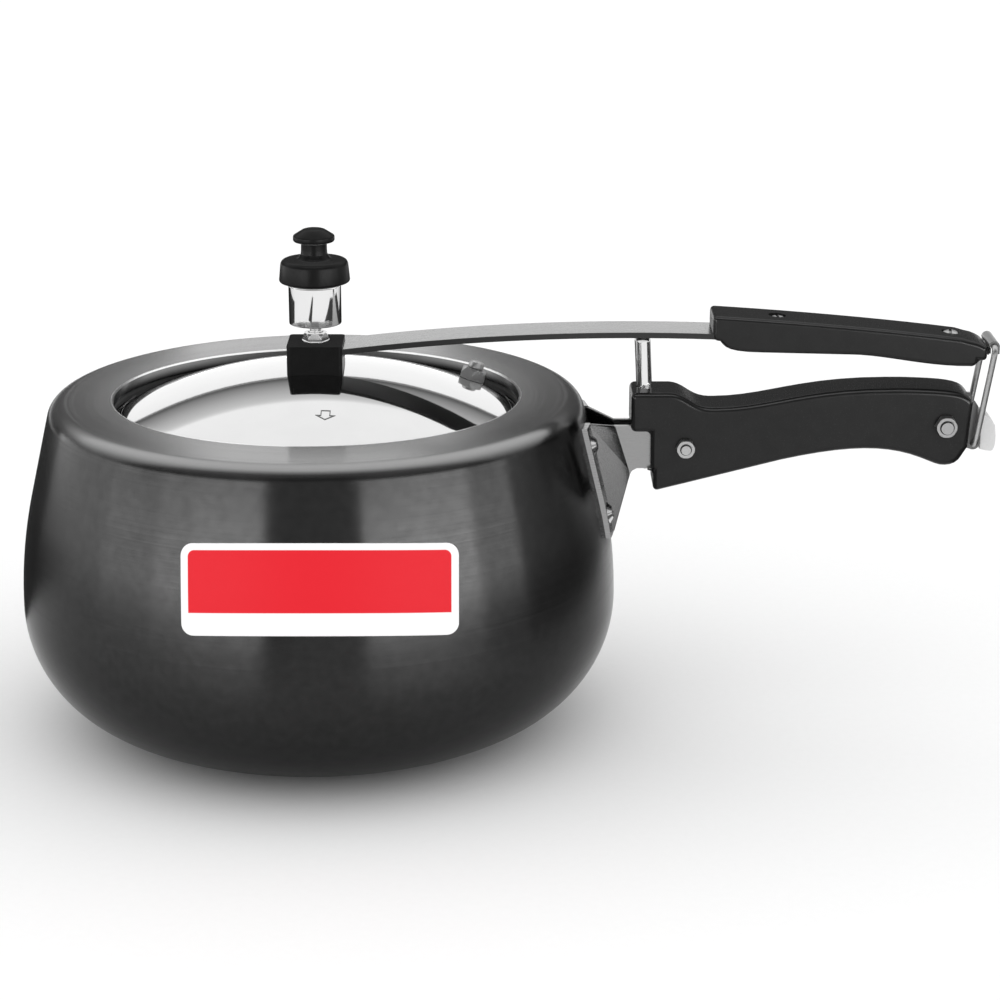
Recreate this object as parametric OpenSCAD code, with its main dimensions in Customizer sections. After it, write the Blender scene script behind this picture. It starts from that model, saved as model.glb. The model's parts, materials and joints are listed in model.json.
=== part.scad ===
// Inner-lid pressure cooker with a bellied pot, shown closed.
// Millimetres, +Z up, +X along the handles, origin at the centre of the flat base.

/* [Pot] */
// Radius of the flat base
base_r = 54.9; // [46:0.1:64]
// Radius of the heel arc beside the base
heel_r = 83.7; // [70:0.1:100]
// Turn of the heel arc in degrees
heel_turn = 26; // [20:1:32]
// Radius of the belly arc, up to the widest ring
belly_r = 49.8; // [44:0.1:56]
// Radius of the arc from the belly into the upper wall
upper_r = 191.7; // [150:0.1:230]
// Inward lean of the straight upper wall in degrees
wall_lean = 13.1; // [10:0.1:15]
// Length of the straight upper wall
wall_run = 33.8; // [26:0.1:50]
// Radius of the arc from the wall into the shoulder
shoulder_r = 7.3; // [5.5:0.1:10]
// Fall of the shoulder towards the mouth in degrees
shoulder_fall = 0.4; // [0.2:0.1:3]
// Fall of the shoulder's underside, which thickens the rim towards the mouth
under_fall = 5.7; // [4.5:0.1:8]
// Thickness of the pot's wall
wall = 3.25; // [2.5:0.05:4]
// Length of the oval mouth, along the handles
mouth_long = 161.5; // [150:0.5:168]
// Width of the oval mouth
mouth_short = 151.4; // [140:0.2:156]
// Thickness of the rim round the mouth, down to the gasket's seat
lip_t = 4.8; // [4:0.1:5.2]

/* [Lid] */
// Sheet thickness of the lid
lid_t = 1.2; // [0.8:0.1:1.6]
// Height of the dome above the flange
lid_rise = 17.5; // [12:0.1:20]
// Reach of the flange past the mouth, all round
flange_reach = 5.5; // [4:0.1:6.5]
// Gap between the mouth and the upright wall of the lid
lid_inset = 2.3; // [1.5:0.1:3]
// Rubber of the gasket over and under the flange
gasket_t = 1.5; // [1:0.1:2]

/* [Bridge block and vent] */
// Length of the bridge block, along the handles
block_l = 22; // [18:0.5:26]
// Width of the bridge block
block_w = 22; // [21:0.5:26]
// Height of the bridge block above the dome
block_h = 11.1; // [9:0.1:16]
// Cover of the block over the bar
block_roof = 1.15; // [0.8:0.05:2]
// Thread diameter of the vent tube
vent_thread_d = 6; // [5:0.5:7]
// Diameter of the vent tube above its nut
vent_tube_d = 4.4; // [3.6:0.1:5]
// Steam bore of the vent tube
vent_bore_d = 2.2; // [1.6:0.1:2.8]
// Length of the vent tube above the block
vent_reach = 16; // [13:0.5:20]
// Width across flats of the vent nut
vent_nut_af = 9; // [8:0.1:10]
// Height of the vent nut
vent_nut_h = 3; // [2.4:0.1:4]

/* [Weight] */
// Diameter of the steel weight
weight_d = 20.8; // [18:0.1:24]
// Height of the steel weight
weight_h = 15.8; // [13:0.1:20]
// Diameter of the heat-proof cap
cap_d = 28; // [25:0.1:32]
// Thickness of the cap's disc
cap_h = 10; // [8:0.1:13]
// Diameter of the cap's knob
knob_d = 16; // [13:0.1:20]
// Height of the knob and its neck above the disc
knob_h = 12.1; // [10:0.1:16]

/* [Safety valve] */
// Distance of the safety valve from the vent, along the handles
valve_x = 61.5; // [50:0.5:64]
// Distance of the safety valve from the vent, across the handles
valve_y = 30; // [10:0.5:31]
// Width across flats of the valve body
valve_af = 10; // [8:0.1:11]
// Height of the valve body above the lid
valve_h = 4.7; // [3.5:0.1:6]

/* [Handle bar] */
// Width of the steel bar over the pot
bar_w = 20; // [14:0.5:20]
// Thickness of the bar
bar_t = 2.3; // [1.8:0.1:3]
// Bend radius of the bar
bar_bend_r = 957; // [800:1:1200]
// Width of the bar inside the lid handle
tail_w = 13; // [10:0.5:14]

/* [Lid handle] */
// Width of the lid handle
lid_handle_w = 21.5; // [19:0.5:22]
// Height of the lid handle above the bar at its front
lid_handle_rise = 8; // [6:0.5:10]

/* [Body handle] */
// Width of the body handle
body_handle_w = 22; // [21:0.5:24]
// Length of the body handle
body_handle_l = 135.3; // [125:0.5:150]
// Distance from the pot's wall to the body handle
handle_standoff = 15; // [12:0.5:18]
// Height of the body handle's front block above the shoulder
handle_over_crest = 2.8; // [0:0.1:4]

/* [Bracket and post] */
// Sheet thickness of the bracket
bracket_t = 2; // [1.5:0.1:2.2]
// Gap between the bracket's two arms
arm_gap = 8.4; // [8:0.1:9.5]
// Diameter of the fulcrum post
post_d = 6.3; // [5:0.1:7]
// Backward lean of the post's foot in degrees
post_lean = 2.8; // [0:0.1:4]
// Diameter of the rivets in the pot
rivet_d = 5; // [4:0.1:6]

/* [Lock loop] */
// Diameter of the loop's wire
wire_d = 2.4; // [2:0.1:2.6]
// Distance between the centres of the loop's legs
loop_w = 24.8; // [24.6:0.1:28]
// Bend radius at the loop's corners, on the wire's centre
loop_corner_r = 3; // [2.5:0.1:4]
// Length of the sheet clip over the loop's top
clip_l = 18; // [14:0.5:18.5]

/* [Label] */
// Length of the label
label_l = 102; // [60:1:120]
// Height of the label
label_h = 33.5; // [25:0.5:36]
// Corner radius of the label
label_corner_r = 4.5; // [2:0.5:8]
// Thickness of the label
label_t = 0.15; // [0.1:0.05:0.3]
// Distance from the shoulder's crest down to the label's middle
label_drop = 43.4; // [38:0.1:48]
// Sideways place of the label's middle, towards the handles
label_x = 7; // [-15:0.5:15]

/* [Clearances] */
// Gap between the gasket and the lip
seal_gap = 0.3; // [0.2:0.05:0.6]
// Gap between pieces that move past each other
move_gap = 0.4; // [0.3:0.05:0.6]
// Gap between the pot and the sheets that follow its wall
sheet_gap = 0.06; // [0.04:0.01:0.12]
// Radial clearance of the loop in its ears
pivot_fit = 0.06; // [0.02:0.01:0.1]
// Radial clearance of a screw or bolt in a plain hole
screw_fit = 0.15; // [0.1:0.05:0.3]

/* [Hidden] */
$fn = 96;

// A cut runs this far past the face that it opens
through = 1;

// ---- Curves that outlines are made of ----
function ray(a) = [cos(a), sin(a)];
function arc(c, r, a0, a1, n) = [for (i = [0:n]) c + r * ray(a0 + (a1 - a0) * i / n)];
function reverse(v) = [for (i = [len(v) - 1:-1:0]) v[i]];
function bezier(p, n = 10) = [
    for (i = [0:n])
        let (t = i / n, s = 1 - t)
            s * s * s * p[0] + 3 * s * s * t * p[1] + 3 * s * t * t * p[2] + t * t * t * p[3]
];

// ---- Pot profile: centres of the tangent arcs, as [radius, height] ----
heel_c = [base_r, heel_r];
belly_c = heel_c + (heel_r - belly_r) * ray(heel_turn - 90);
upper_c = belly_c - [upper_r - belly_r, 0];
wall_foot = upper_c + upper_r * ray(wall_lean);
wall_top = wall_foot + wall_run * ray(90 + wall_lean);
shoulder_c = wall_top - shoulder_r * ray(wall_lean);
shoulder_end = shoulder_c + shoulder_r * ray(90 + shoulder_fall);
crest_z = shoulder_c[1] + shoulder_r;
rim_run = (shoulder_end[0] - mouth_short / 2 + 6) / cos(shoulder_fall);

// The pot's outline, moved inward by inset, from the axis at the base to the rim
function pot_outline(inset, fall = shoulder_fall) = concat(
    [[0, inset]],
    arc(heel_c, heel_r - inset, -90, heel_turn - 90, 6),
    arc(belly_c, belly_r - inset, heel_turn - 87, 0, 14),
    arc(upper_c, upper_r - inset, 1, wall_lean, 6),
    arc(shoulder_c, shoulder_r - inset, wall_lean, 90 + fall, 12),
    [shoulder_c + (shoulder_r - inset) * ray(90 + fall) + rim_run * ray(180 + fall)]
);
// Outer radius and lean of the upper wall at height z
function wall_r(z) = z < wall_foot[1]
    ? upper_c[0] + sqrt(upper_r * upper_r - pow(z - upper_c[1], 2))
    : wall_foot[0] - (z - wall_foot[1]) * tan(wall_lean);
function lean_at(z) = z < wall_foot[1] ? asin((z - upper_c[1]) / upper_r) : wall_lean;
// Height of the shoulder's top at radius r
function shoulder_z(r) = shoulder_end[1] - (shoulder_end[0] - r) * tan(shoulder_fall);

// ---- Lid: heights from the machined seat under the lip ----
seat_z = shoulder_z(mouth_short / 2) - lip_t;
gasket_top = seat_z - seal_gap;
flange_top = gasket_top - gasket_t;
flange_bottom = flange_top - lid_t;
dome_top = flange_top + lid_rise;
dome_foot = 0.6;
dome_span = mouth_long / 2 - lid_inset;
dome_drop = lid_rise - dome_foot;
dome_r = (dome_span * dome_span + dome_drop * dome_drop) / (2 * dome_drop);
dome_c = dome_top - dome_r;
gasket_side = 1.7;
gasket_lap = 0.8;

// ---- Bar: level in the block, then one arc over the post, then a straight tail ----
block_top = dome_top + block_h;
bar_front_z = block_top - block_roof - bar_t / 2;
bar_front_x = block_l / 2;
handle_x = wall_r(crest_z - 20) + handle_standoff;
handle_rear = handle_x + body_handle_l;
post_top_x = handle_x + 4.6;
bar_peak_x = post_top_x - 4.8;
bar_peak_z = bar_front_z + pow(bar_peak_x - bar_front_x, 2) / (2 * bar_bend_r);
tail_slope = 0.07;
tail_x = bar_peak_x + tail_slope * bar_bend_r;
tail_z = bar_peak_z - pow(tail_x - bar_peak_x, 2) / (2 * bar_bend_r);
// Height of the bar's middle at x
function bar_z(x) = x < bar_front_x ? bar_front_z
    : x < tail_x ? bar_peak_z - pow(x - bar_peak_x, 2) / (2 * bar_bend_r)
    : tail_z - (x - tail_x) * tail_slope;

// ---- Lid handle and the loop that holds its end down ----
lid_handle_front = handle_x + 31.8;
lid_handle_rear = handle_rear + 4.9;
crossbar_x = lid_handle_rear + 2.7;
tail_end = crossbar_x - 0.4;
crossbar_z = bar_z(tail_end) + bar_t / 2 + move_gap + wire_d / 2;
pivot_x = handle_rear + 1.3;
pivot_z = crest_z - 18.2;
loop_lean = atan((crossbar_x - pivot_x) / (crossbar_z - pivot_z));
loop_h = norm([crossbar_x - pivot_x, crossbar_z - pivot_z]);

// ---- Bracket, post and bolts ----
arm_out = arm_gap / 2 + bracket_t;
arm_top = crest_z - 11.7;
arm_bottom = crest_z - 29.2;
arm_end = handle_x + 30.5;
web_front = handle_x + 2.5;
flange_in_y = 13;
flange_out_y = 22.5;
bracket_low = crest_z - 53.5;
bracket_high = crest_z - 8.5;
rivet_zs = [crest_z - 16.5, crest_z - 44.5];
rivet_y = 18;
rivet_head_d = 1.7 * rivet_d;
rivet_head_h = 0.32 * rivet_d;
post_top_z = bar_z(post_top_x) - bar_t / 2 - seal_gap;
post_axis_z = post_top_z - post_d / 2;
front_bolt_x = handle_x + 21.8;
front_bolt_z = crest_z - 19.4;
front_bolt_d = 4;
rear_bolt_x = handle_rear - 10.3;
rear_bolt_z = crest_z - 10.2;
rear_bolt_d = 5;
ear_t = 2;
ear_out = 8;
ear_lobe_r = 2.7;

// ---- Weight ----
nut_washer_t = 0.6;
vent_top = block_top + vent_reach;
weight_bottom = vent_top - 8.8;
weight_top = weight_bottom + weight_h;
weight_bore_d = vent_tube_d + 5;
weight_bore_top = vent_top + 1.6;
stud_d = 4.6;

// ---- Shared shapes ----
// A side outline in X and Z, as wide as y0 to y1
module side_plate(points, y0, y1) {
    translate([0, y1, 0])
        rotate([90, 0, 0])
            linear_extrude(y1 - y0)
                polygon(points);
}

// The mouth's oval, larger all round by grow, from z0 to z1
module oval(grow, z0, z1) {
    translate([0, 0, z0])
        linear_extrude(z1 - z0)
            polygon([
                for (t = [0:3:357])
                    [(mouth_long / 2 + grow) * cos(t), (mouth_short / 2 + grow) * sin(t)]
            ]);
}

// Everything under a dome that lies below the lid's top by depth
module under_dome(depth) {
    translate([0, 0, dome_c])
        sphere(r = dome_r - depth, $fn = 192);
}

// Places children square on the dome over [x, y]
module on_dome(x, y) {
    translate([0, 0, dome_c])
        rotate([0, 0, atan2(y, x)])
            rotate([0, asin(norm([x, y]) / dome_r), 0])
                translate([0, 0, dome_r])
                    children();
}

// Places children square on the pot's outer wall at height z and offset y
module on_wall(y, z) {
    rotate([0, 0, asin(y / wall_r(z))])
        translate([wall_r(z), 0, z])
            rotate([0, 90 - lean_at(z), 0])
                children();
}

// Places children along Y at [x, z], pointing towards -Y
module across(x, y, z) {
    translate([x, y, z])
        rotate([90, 0, 0])
            children();
}

// Places children on the post's axis, with Z up the post and 0 at its pivot
module on_post() {
    translate([post_top_x, 0, post_axis_z])
        rotate([0, -post_lean, 0])
            children();
}

module hex(af, h) {
    cylinder(d = af / cos(30), h = h, $fn = 6);
}

module rounded_block(l, w, r, h) {
    linear_extrude(h) {
        square([l - 2 * r, w], center = true);
        square([l, w - 2 * r], center = true);
        for (x = [-1, 1], y = [-1, 1])
            translate([x * (l / 2 - r), y * (w / 2 - r)])
                circle(r = r);
    }
}

// A sheet of thickness t all over the pot's outside
module wall_sheet(t) {
    difference() {
        rotate_extrude($fn = 192)
            polygon(concat(pot_outline(-sheet_gap - t), [[0, crest_z]]));
        rotate_extrude($fn = 192)
            polygon(concat(pot_outline(-sheet_gap), [[0, crest_z]]));
    }
}

// ---- Pot ----
module rivet_holes() {
    for (y = [-rivet_y, rivet_y], z = rivet_zs)
        on_wall(y, z)
            translate([0, 0, -10])
                cylinder(d = rivet_d, h = 20);
}

module pot_body() {
    color("dimgray")
        difference() {
            rotate_extrude($fn = 192)
                polygon(concat(pot_outline(0), reverse(pot_outline(wall, under_fall))));
            oval(0, seat_z - 5, crest_z + through);
            oval(flange_reach + gasket_side + 1.5, seat_z - 5, seat_z);
            rivet_holes();
        }
}

module front_label() {
    color("firebrick")
        intersection() {
            wall_sheet(label_t);
            translate([label_x, 0, crest_z - label_drop])
                rotate([90, 0, 0])
                    rounded_block(label_l, label_h, label_corner_r, base_r + heel_r);
        }
}

// ---- Bracket on the pot ----
module bracket_flange() {
    intersection() {
        wall_sheet(bracket_t);
        side_plate([
            [base_r, bracket_low],
            [handle_x, bracket_low],
            [handle_x, bracket_high],
            [base_r, bracket_high]
        ], flange_in_y, flange_out_y);
    }
}

// A straight round edge from p to q, for the folded plate
module edge_rod(p, q) {
    hull()
        for (c = [p, q])
            translate(c)
                sphere(d = bracket_t, $fn = 16);
}

// The plate between the flange on the pot and the arm, folded along both edges
module bracket_fold() {
    root_y = flange_in_y + 1;
    arm_y = arm_out - bracket_t / 2;
    // Clears the wall's bulge between the ends of the fold
    off_wall = bracket_t / 2 + 0.5;
    top_x = sqrt(pow(wall_r(bracket_high), 2) - root_y * root_y) + off_wall;
    low_x = sqrt(pow(wall_r(bracket_low), 2) - root_y * root_y) + off_wall;
    hull() {
        edge_rod([top_x, root_y, bracket_high - 1], [low_x, root_y, bracket_low + 1]);
        edge_rod([handle_x - 6.2, arm_y, arm_top - 1], [handle_x - 0.6, arm_y, arm_bottom - 1.5]);
    }
}

module bracket_arm() {
    side_plate([
        [handle_x - 6.6, arm_top],
        [arm_end, arm_top],
        [arm_end, arm_bottom + 3],
        [arm_end - 3, arm_bottom],
        [handle_x + 2.8, arm_bottom],
        [handle_x + 0.9, arm_bottom - 1],
        [handle_x, arm_bottom - 2.6],
        [handle_x - 1, arm_bottom - 2.6]
    ], arm_out - bracket_t, arm_out);
}

module handle_bracket() {
    color("silver")
        difference() {
            union() {
                for (side = [0, 1])
                    mirror([0, side, 0]) {
                        bracket_flange();
                        bracket_fold();
                        bracket_arm();
                    }
                translate([web_front, -arm_out, arm_bottom])
                    cube([arm_end - 8 - web_front, 2 * arm_out, bracket_t]);
            }
            rivet_holes();
            across(front_bolt_x, arm_out + through, front_bolt_z)
                cylinder(d = front_bolt_d + 2 * screw_fit, h = 2 * (arm_out + through));
            on_post()
                translate([0, 0, -2 * (post_axis_z - arm_bottom)])
                    cylinder(d = post_d - 2, h = 1.5 * (post_axis_z - arm_bottom));
        }
}

module bracket_rivets() {
    color("gainsboro")
        for (y = [-rivet_y, rivet_y], z = rivet_zs)
            on_wall(y, z) {
                translate([0, 0, -wall - 0.1])
                    cylinder(d = rivet_d, h = wall + bracket_t + 2 * sheet_gap + 0.2);
                translate([0, 0, bracket_t + 2 * sheet_gap])
                    cylinder(d1 = rivet_head_d, d2 = 0.5 * rivet_head_d, h = rivet_head_h);
                translate([0, 0, -wall - 0.1 - rivet_head_h])
                    cylinder(d1 = 0.5 * rivet_head_d, d2 = rivet_head_d, h = rivet_head_h);
            }
}

// Length of the post from its pivot down to the bracket's web
post_l = (post_axis_z - arm_bottom - bracket_t) / cos(post_lean) - 0.1;

module fulcrum_post() {
    color("gainsboro")
        on_post() {
            sphere(d = post_d);
            translate([0, 0, -post_l])
                cylinder(d = post_d, h = post_l);
            translate([0, 0, -post_l - bracket_t - 0.6])
                cylinder(d = post_d - 2, h = bracket_t + 0.7);
            translate([0, 0, -post_l - bracket_t - 1.5])
                cylinder(d1 = post_d - 2.4, d2 = post_d - 0.6, h = 1.2);
        }
}

// ---- Body handle ----
body_handle_outline = concat(
    [
        [handle_x + 0.8, crest_z + handle_over_crest],
        [handle_x + 15, crest_z + handle_over_crest]
    ],
    bezier([
        [handle_x + 16, crest_z + handle_over_crest],
        [handle_x + 22.5, crest_z + 2.2],
        [handle_x + 24, crest_z - 3],
        [handle_x + 32, crest_z - 3.2]
    ]),
    bezier([
        [handle_x + 34, crest_z - 3.2],
        [handle_x + 55, crest_z - 3],
        [handle_x + 68, crest_z + 4.7],
        [handle_rear - 32, crest_z + 4.7]
    ]),
    bezier([
        [handle_rear - 6, crest_z + 4],
        [handle_rear - 2, crest_z + 3.4],
        [handle_rear, crest_z + 1],
        [handle_rear + 0.3, crest_z - 1.5]
    ], 6),
    [
        [handle_rear - 1.1, crest_z - 19.4],
        [handle_rear - 2.9, crest_z - 22.3]
    ],
    bezier([
        [handle_rear - 4, crest_z - 24.3],
        [handle_rear - 6.5, crest_z - 27],
        [handle_rear - 11, crest_z - 27.6],
        [handle_rear - 14, crest_z - 26.2]
    ], 6),
    bezier([
        [handle_rear - 20, crest_z - 23.8],
        [handle_rear - 33, crest_z - 18.8],
        [handle_rear - 48, crest_z - 18.6],
        [handle_x + 60, crest_z - 24.8]
    ]),
    [
        [handle_x + 24, crest_z - 34],
        [handle_x + 12, crest_z - 37.3],
        [handle_x + 10.2, crest_z - 37.1],
        [handle_x + 9.1, crest_z - 35.6],
        [handle_x + 9.1, arm_bottom],
        [handle_x + 8, arm_bottom],
        [handle_x + 8, crest_z - 13.2],
        [handle_x, crest_z - 13.2],
        [handle_x, crest_z + handle_over_crest - 0.8]
    ]
);

module body_handle() {
    half = body_handle_w / 2;
    slot = arm_out + 0.3;
    color([0.13, 0.13, 0.13])
        difference() {
            side_plate(body_handle_outline, -half, half);
            // Slot for the bracket's arms
            translate([handle_x - through, -slot, arm_bottom - 2.5])
                cube([arm_end - handle_x + 0.4 + through, 2 * slot, arm_top - arm_bottom + 2.8]);
            on_post()
                translate([0, 0, arm_top - 2 - post_axis_z])
                    cylinder(d = post_d + 2 * screw_fit, h = 30);
            across(front_bolt_x, half + through, front_bolt_z)
                cylinder(d = front_bolt_d + 2 * screw_fit, h = body_handle_w + 2 * through);
            across(rear_bolt_x, half + through, rear_bolt_z)
                cylinder(d = rear_bolt_d + 2 * screw_fit, h = body_handle_w + 2 * through);
            // Slot for the loop's ears, open to the rear
            translate([rear_bolt_x - 6.5, -ear_out - 0.2, crest_z - 23])
                cube([40, 2 * ear_out + 0.4, 22.5]);
        }
}

// ---- Bolts and nuts: the nuts are on the near side, the heads on the far side ----
module cross_bolt(x, z, d) {
    half = body_handle_w / 2;
    head_h = 0.6 * d;
    across(x, half, z)
        cylinder(d = d, h = body_handle_w + 0.8 * d + 1);
    across(x, half + head_h, z)
        cylinder(d = 1.9 * d, h = head_h);
}

module cross_nut(x, z, d, af) {
    nut_h = 0.75 * d;
    across(x, -body_handle_w / 2, z)
        difference() {
            intersection() {
                hex(af, nut_h);
                cylinder(d1 = af * 1.2, d2 = af * 1.02, h = nut_h);
            }
            translate([0, 0, -through])
                cylinder(d = d, h = nut_h + 2 * through);
        }
}

module front_bolt() {
    color("gainsboro")
        cross_bolt(front_bolt_x, front_bolt_z, front_bolt_d);
}

module front_nut() {
    color("gainsboro")
        cross_nut(front_bolt_x, front_bolt_z, front_bolt_d, 7);
}

module rear_bolt() {
    color("gainsboro")
        cross_bolt(rear_bolt_x, rear_bolt_z, rear_bolt_d);
}

module rear_nut() {
    color("gainsboro")
        cross_nut(rear_bolt_x, rear_bolt_z, rear_bolt_d, 8);
}

// ---- Loop, its ears, clip and tab ----
// Places children in the loop's own plane, with Z up the legs and 0 at the pivot
module on_loop() {
    translate([pivot_x, 0, pivot_z])
        rotate([0, loop_lean, 0])
            children();
}

module loop_bracket() {
    ear_points = concat(
        [
            [rear_bolt_x - 5, rear_bolt_z + 5],
            [rear_bolt_x - 5, rear_bolt_z - 5],
            [rear_bolt_x - 1, rear_bolt_z - 7]
        ],
        arc([pivot_x, pivot_z], ear_lobe_r, 240, 380, 8),
        [
            [handle_rear + 2.3, crest_z - 8],
            [handle_rear + 2.7, crest_z - 3],
            [handle_rear + 1.5, crest_z - 1.2],
            [handle_rear - 1.5, crest_z - 1.2]
        ]
    );
    color("dimgray")
        difference() {
            union() {
                for (side = [0, 1])
                    mirror([0, side, 0])
                        side_plate(ear_points, ear_out - ear_t, ear_out);
                // Strap that joins the ears at their top, in front of the loop
                side_plate([
                    [handle_rear - 1.5, crest_z - 12],
                    [handle_rear + 0.4, crest_z - 12],
                    [handle_rear + 1, crest_z - 3],
                    [handle_rear + 0.4, crest_z - 1.2],
                    [handle_rear - 1.5, crest_z - 1.2]
                ], -ear_out + ear_t / 2, ear_out - ear_t / 2);
            }
            across(pivot_x, ear_out + through, pivot_z)
                cylinder(d = wire_d + 2 * pivot_fit, h = 2 * (ear_out + through));
            across(rear_bolt_x, ear_out + through, rear_bolt_z)
                cylinder(d = rear_bolt_d + 2 * screw_fit, h = 2 * (ear_out + through));
        }
}

module lock_loop() {
    half = loop_w / 2;
    r = loop_corner_r;
    color("gainsboro")
        on_loop() {
            for (z = [0, loop_h])
                across(0, half - r, z)
                    cylinder(d = wire_d, h = 2 * (half - r));
            for (y = [-half, half])
                translate([0, y, r])
                    cylinder(d = wire_d, h = loop_h - 2 * r);
            for (side = [0, 1], end = [0, 1])
                translate([0, (1 - 2 * side) * (half - r), end == 1 ? loop_h - r : r])
                    rotate([90, 0, 90])
                        mirror([side, 0, 0])
                            mirror([0, 1 - end, 0])
                                rotate_extrude(angle = 90)
                                    translate([r, 0])
                                        circle(d = wire_d);
        }
}

module loop_clip() {
    clip_t = 1;
    outer = wire_d / 2 + clip_t + 0.05;
    color("gray")
        translate([crossbar_x, 0, crossbar_z])
            difference() {
                union() {
                    across(0, clip_l / 2, 0)
                        cylinder(r = outer, h = clip_l);
                    translate([outer - clip_t, -clip_l / 2, -3])
                        cube([clip_t, clip_l, 3]);
                }
                across(0, clip_l / 2 + through, 0)
                    cylinder(d = wire_d + 0.1, h = clip_l + 2 * through);
                // Open below, where the bar's end hooks in
                translate([-outer - through, -clip_l / 2 - through, -outer - through])
                    cube([2 * outer - clip_t + through, clip_l + 2 * through, outer + through]);
            }
}

module loop_tab() {
    tab_l = 14;
    paddle = concat(
        [[2.6, -2.8], [5, -3.4]],
        bezier([[7.4, -3.6], [8.9, -3], [9, 1], [8.7, 4]], 6),
        bezier([[8.4, 7], [7, 10], [5.2, 11], [3.6, 11]], 6),
        [[2.6, 10]]
    );
    sleeve_l = 2 * (ear_out - ear_t - move_gap);
    color("gainsboro")
        difference() {
            union() {
                translate([pivot_x, 0, pivot_z])
                    side_plate([for (p = paddle) p + [0.3, 0]], -tab_l / 2, tab_l / 2);
                across(pivot_x, sleeve_l / 2, pivot_z)
                    cylinder(d = wire_d + 2.6, h = sleeve_l);
                translate([pivot_x, -sleeve_l / 2, pivot_z - 1])
                    cube([4, sleeve_l, 3.2]);
            }
            across(pivot_x, sleeve_l, pivot_z)
                cylinder(d = wire_d, h = 2 * sleeve_l);
        }
}

// ---- Lid ----
module lid() {
    color("whitesmoke")
        difference() {
            union() {
                difference() {
                    intersection() {
                        oval(-lid_inset, flange_bottom, dome_top + through);
                        under_dome(0);
                    }
                    intersection() {
                        oval(-lid_inset - lid_t, flange_bottom - through, dome_top + through);
                        under_dome(lid_t);
                    }
                }
                difference() {
                    oval(flange_reach, flange_bottom, flange_top);
                    oval(-lid_inset - lid_t / 2, flange_bottom - through, flange_top + through);
                }
            }
            cylinder(d = vent_thread_d + 2 * screw_fit, h = 2 * dome_top);
            on_dome(valve_x, valve_y)
                translate([0, 0, -10])
                    cylinder(d = vent_thread_d + 2 * screw_fit, h = 20);
        }
}

module gasket() {
    color([0.1, 0.1, 0.1])
        difference() {
            oval(flange_reach + gasket_side, flange_bottom - gasket_t, gasket_top);
            oval(gasket_lap, flange_bottom - gasket_t - through, gasket_top + through);
            oval(flange_reach, flange_bottom, flange_top);
        }
}

module bridge_block() {
    color([0.13, 0.13, 0.13])
        difference() {
            translate([0, 0, dome_top - 1])
                rounded_block(block_l, block_w, 1.6, block_h + 1);
            under_dome(0);
            translate([0, 0, dome_top - 2])
                cylinder(d = vent_thread_d + 2 * screw_fit, h = block_h + 4);
            // Slot for the bar, open towards the handle
            translate([-block_l / 2 + 2.5, -bar_w / 2 - 0.1, bar_front_z - bar_t / 2 - 0.05])
                cube([block_l, bar_w + 0.2, bar_t + 0.1]);
        }
}

module vent_tube() {
    shank_top = block_top + nut_washer_t + vent_nut_h + 0.6;
    flange_z = dome_top - lid_t - 1.3;
    color("gainsboro")
        difference() {
            union() {
                translate([0, 0, flange_z - 2.2])
                    hex(13, 2.2);
                translate([0, 0, flange_z - 0.1])
                    cylinder(d = vent_thread_d, h = shank_top - flange_z + 0.1);
                translate([0, 0, shank_top - 0.1])
                    cylinder(d = vent_tube_d, h = vent_top - shank_top + 0.1);
                translate([0, 0, shank_top + 1])
                    cylinder(d = vent_tube_d + 1, h = 1.5);
            }
            translate([0, 0, flange_z - 10])
                cylinder(d = vent_bore_d, h = vent_top);
        }
}

module vent_washer() {
    color("firebrick")
        translate([0, 0, dome_top - lid_t - 1.25])
            difference() {
                cylinder(d = 13, h = 1.1);
                translate([0, 0, -through])
                    cylinder(d = vent_thread_d, h = 2 * through + 2);
            }
}

module vent_nut() {
    color("gainsboro")
        translate([0, 0, block_top])
            difference() {
                union() {
                    cylinder(d = vent_nut_af * 1.2, h = nut_washer_t);
                    translate([0, 0, nut_washer_t])
                        intersection() {
                            hex(vent_nut_af, vent_nut_h);
                            cylinder(d1 = vent_nut_af * 1.2, d2 = vent_nut_af, h = vent_nut_h);
                        }
                }
                translate([0, 0, -through])
                    cylinder(d = vent_thread_d, h = vent_nut_h + 2 * through + 2);
            }
}

// ---- Bar and lid handle ----
// The bar's side outline from x0 to x1, thicker by grow on each side
function bar_outline(x0, x1, grow) =
    let (
        bend_x = max(x0, bar_front_x),
        xs = concat([min(x0, bend_x - 1)], [for (i = [0:32]) bend_x + (x1 - bend_x) * i / 32]),
        h = bar_t / 2 + grow
    )
        concat([for (x = xs) [x, bar_z(x) + h]], reverse([for (x = xs) [x, bar_z(x) - h]]));

lid_screw_xs = [lid_handle_front + 26, lid_handle_rear - 13.5];
lid_screw_d = 4;
lid_screw_head_d = 6.4;
lid_screw_head_h = 2.4;

module handle_bar() {
    bar_start = -block_l / 2 + 3;
    neck_x = lid_handle_front + 1;
    color("silver")
        difference() {
            intersection() {
                side_plate(bar_outline(bar_start, tail_end, 0), -bar_w / 2, bar_w / 2);
                translate([0, 0, bar_front_z - 30])
                    linear_extrude(60) {
                        translate([bar_start, -bar_w / 2])
                            square([neck_x - bar_start, bar_w]);
                        translate([neck_x - 1, -tail_w / 2])
                            square([tail_end - neck_x, tail_w]);
                        translate([tail_end - 3, -tail_w / 2 + 2])
                            square([3, tail_w - 4]);
                    }
            }
            translate([0, 0, bar_front_z - 10])
                cylinder(d = vent_thread_d + 2 * screw_fit, h = 20);
            for (x = lid_screw_xs)
                translate([x, 0, bar_z(x) - 10])
                    cylinder(d = lid_screw_d, h = 20);
        }
}

// Top of the lid handle over its screws
function lid_handle_top(x) =
    bar_z(lid_handle_front) + lid_handle_rise - (x - lid_handle_front) * 0.085;

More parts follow.
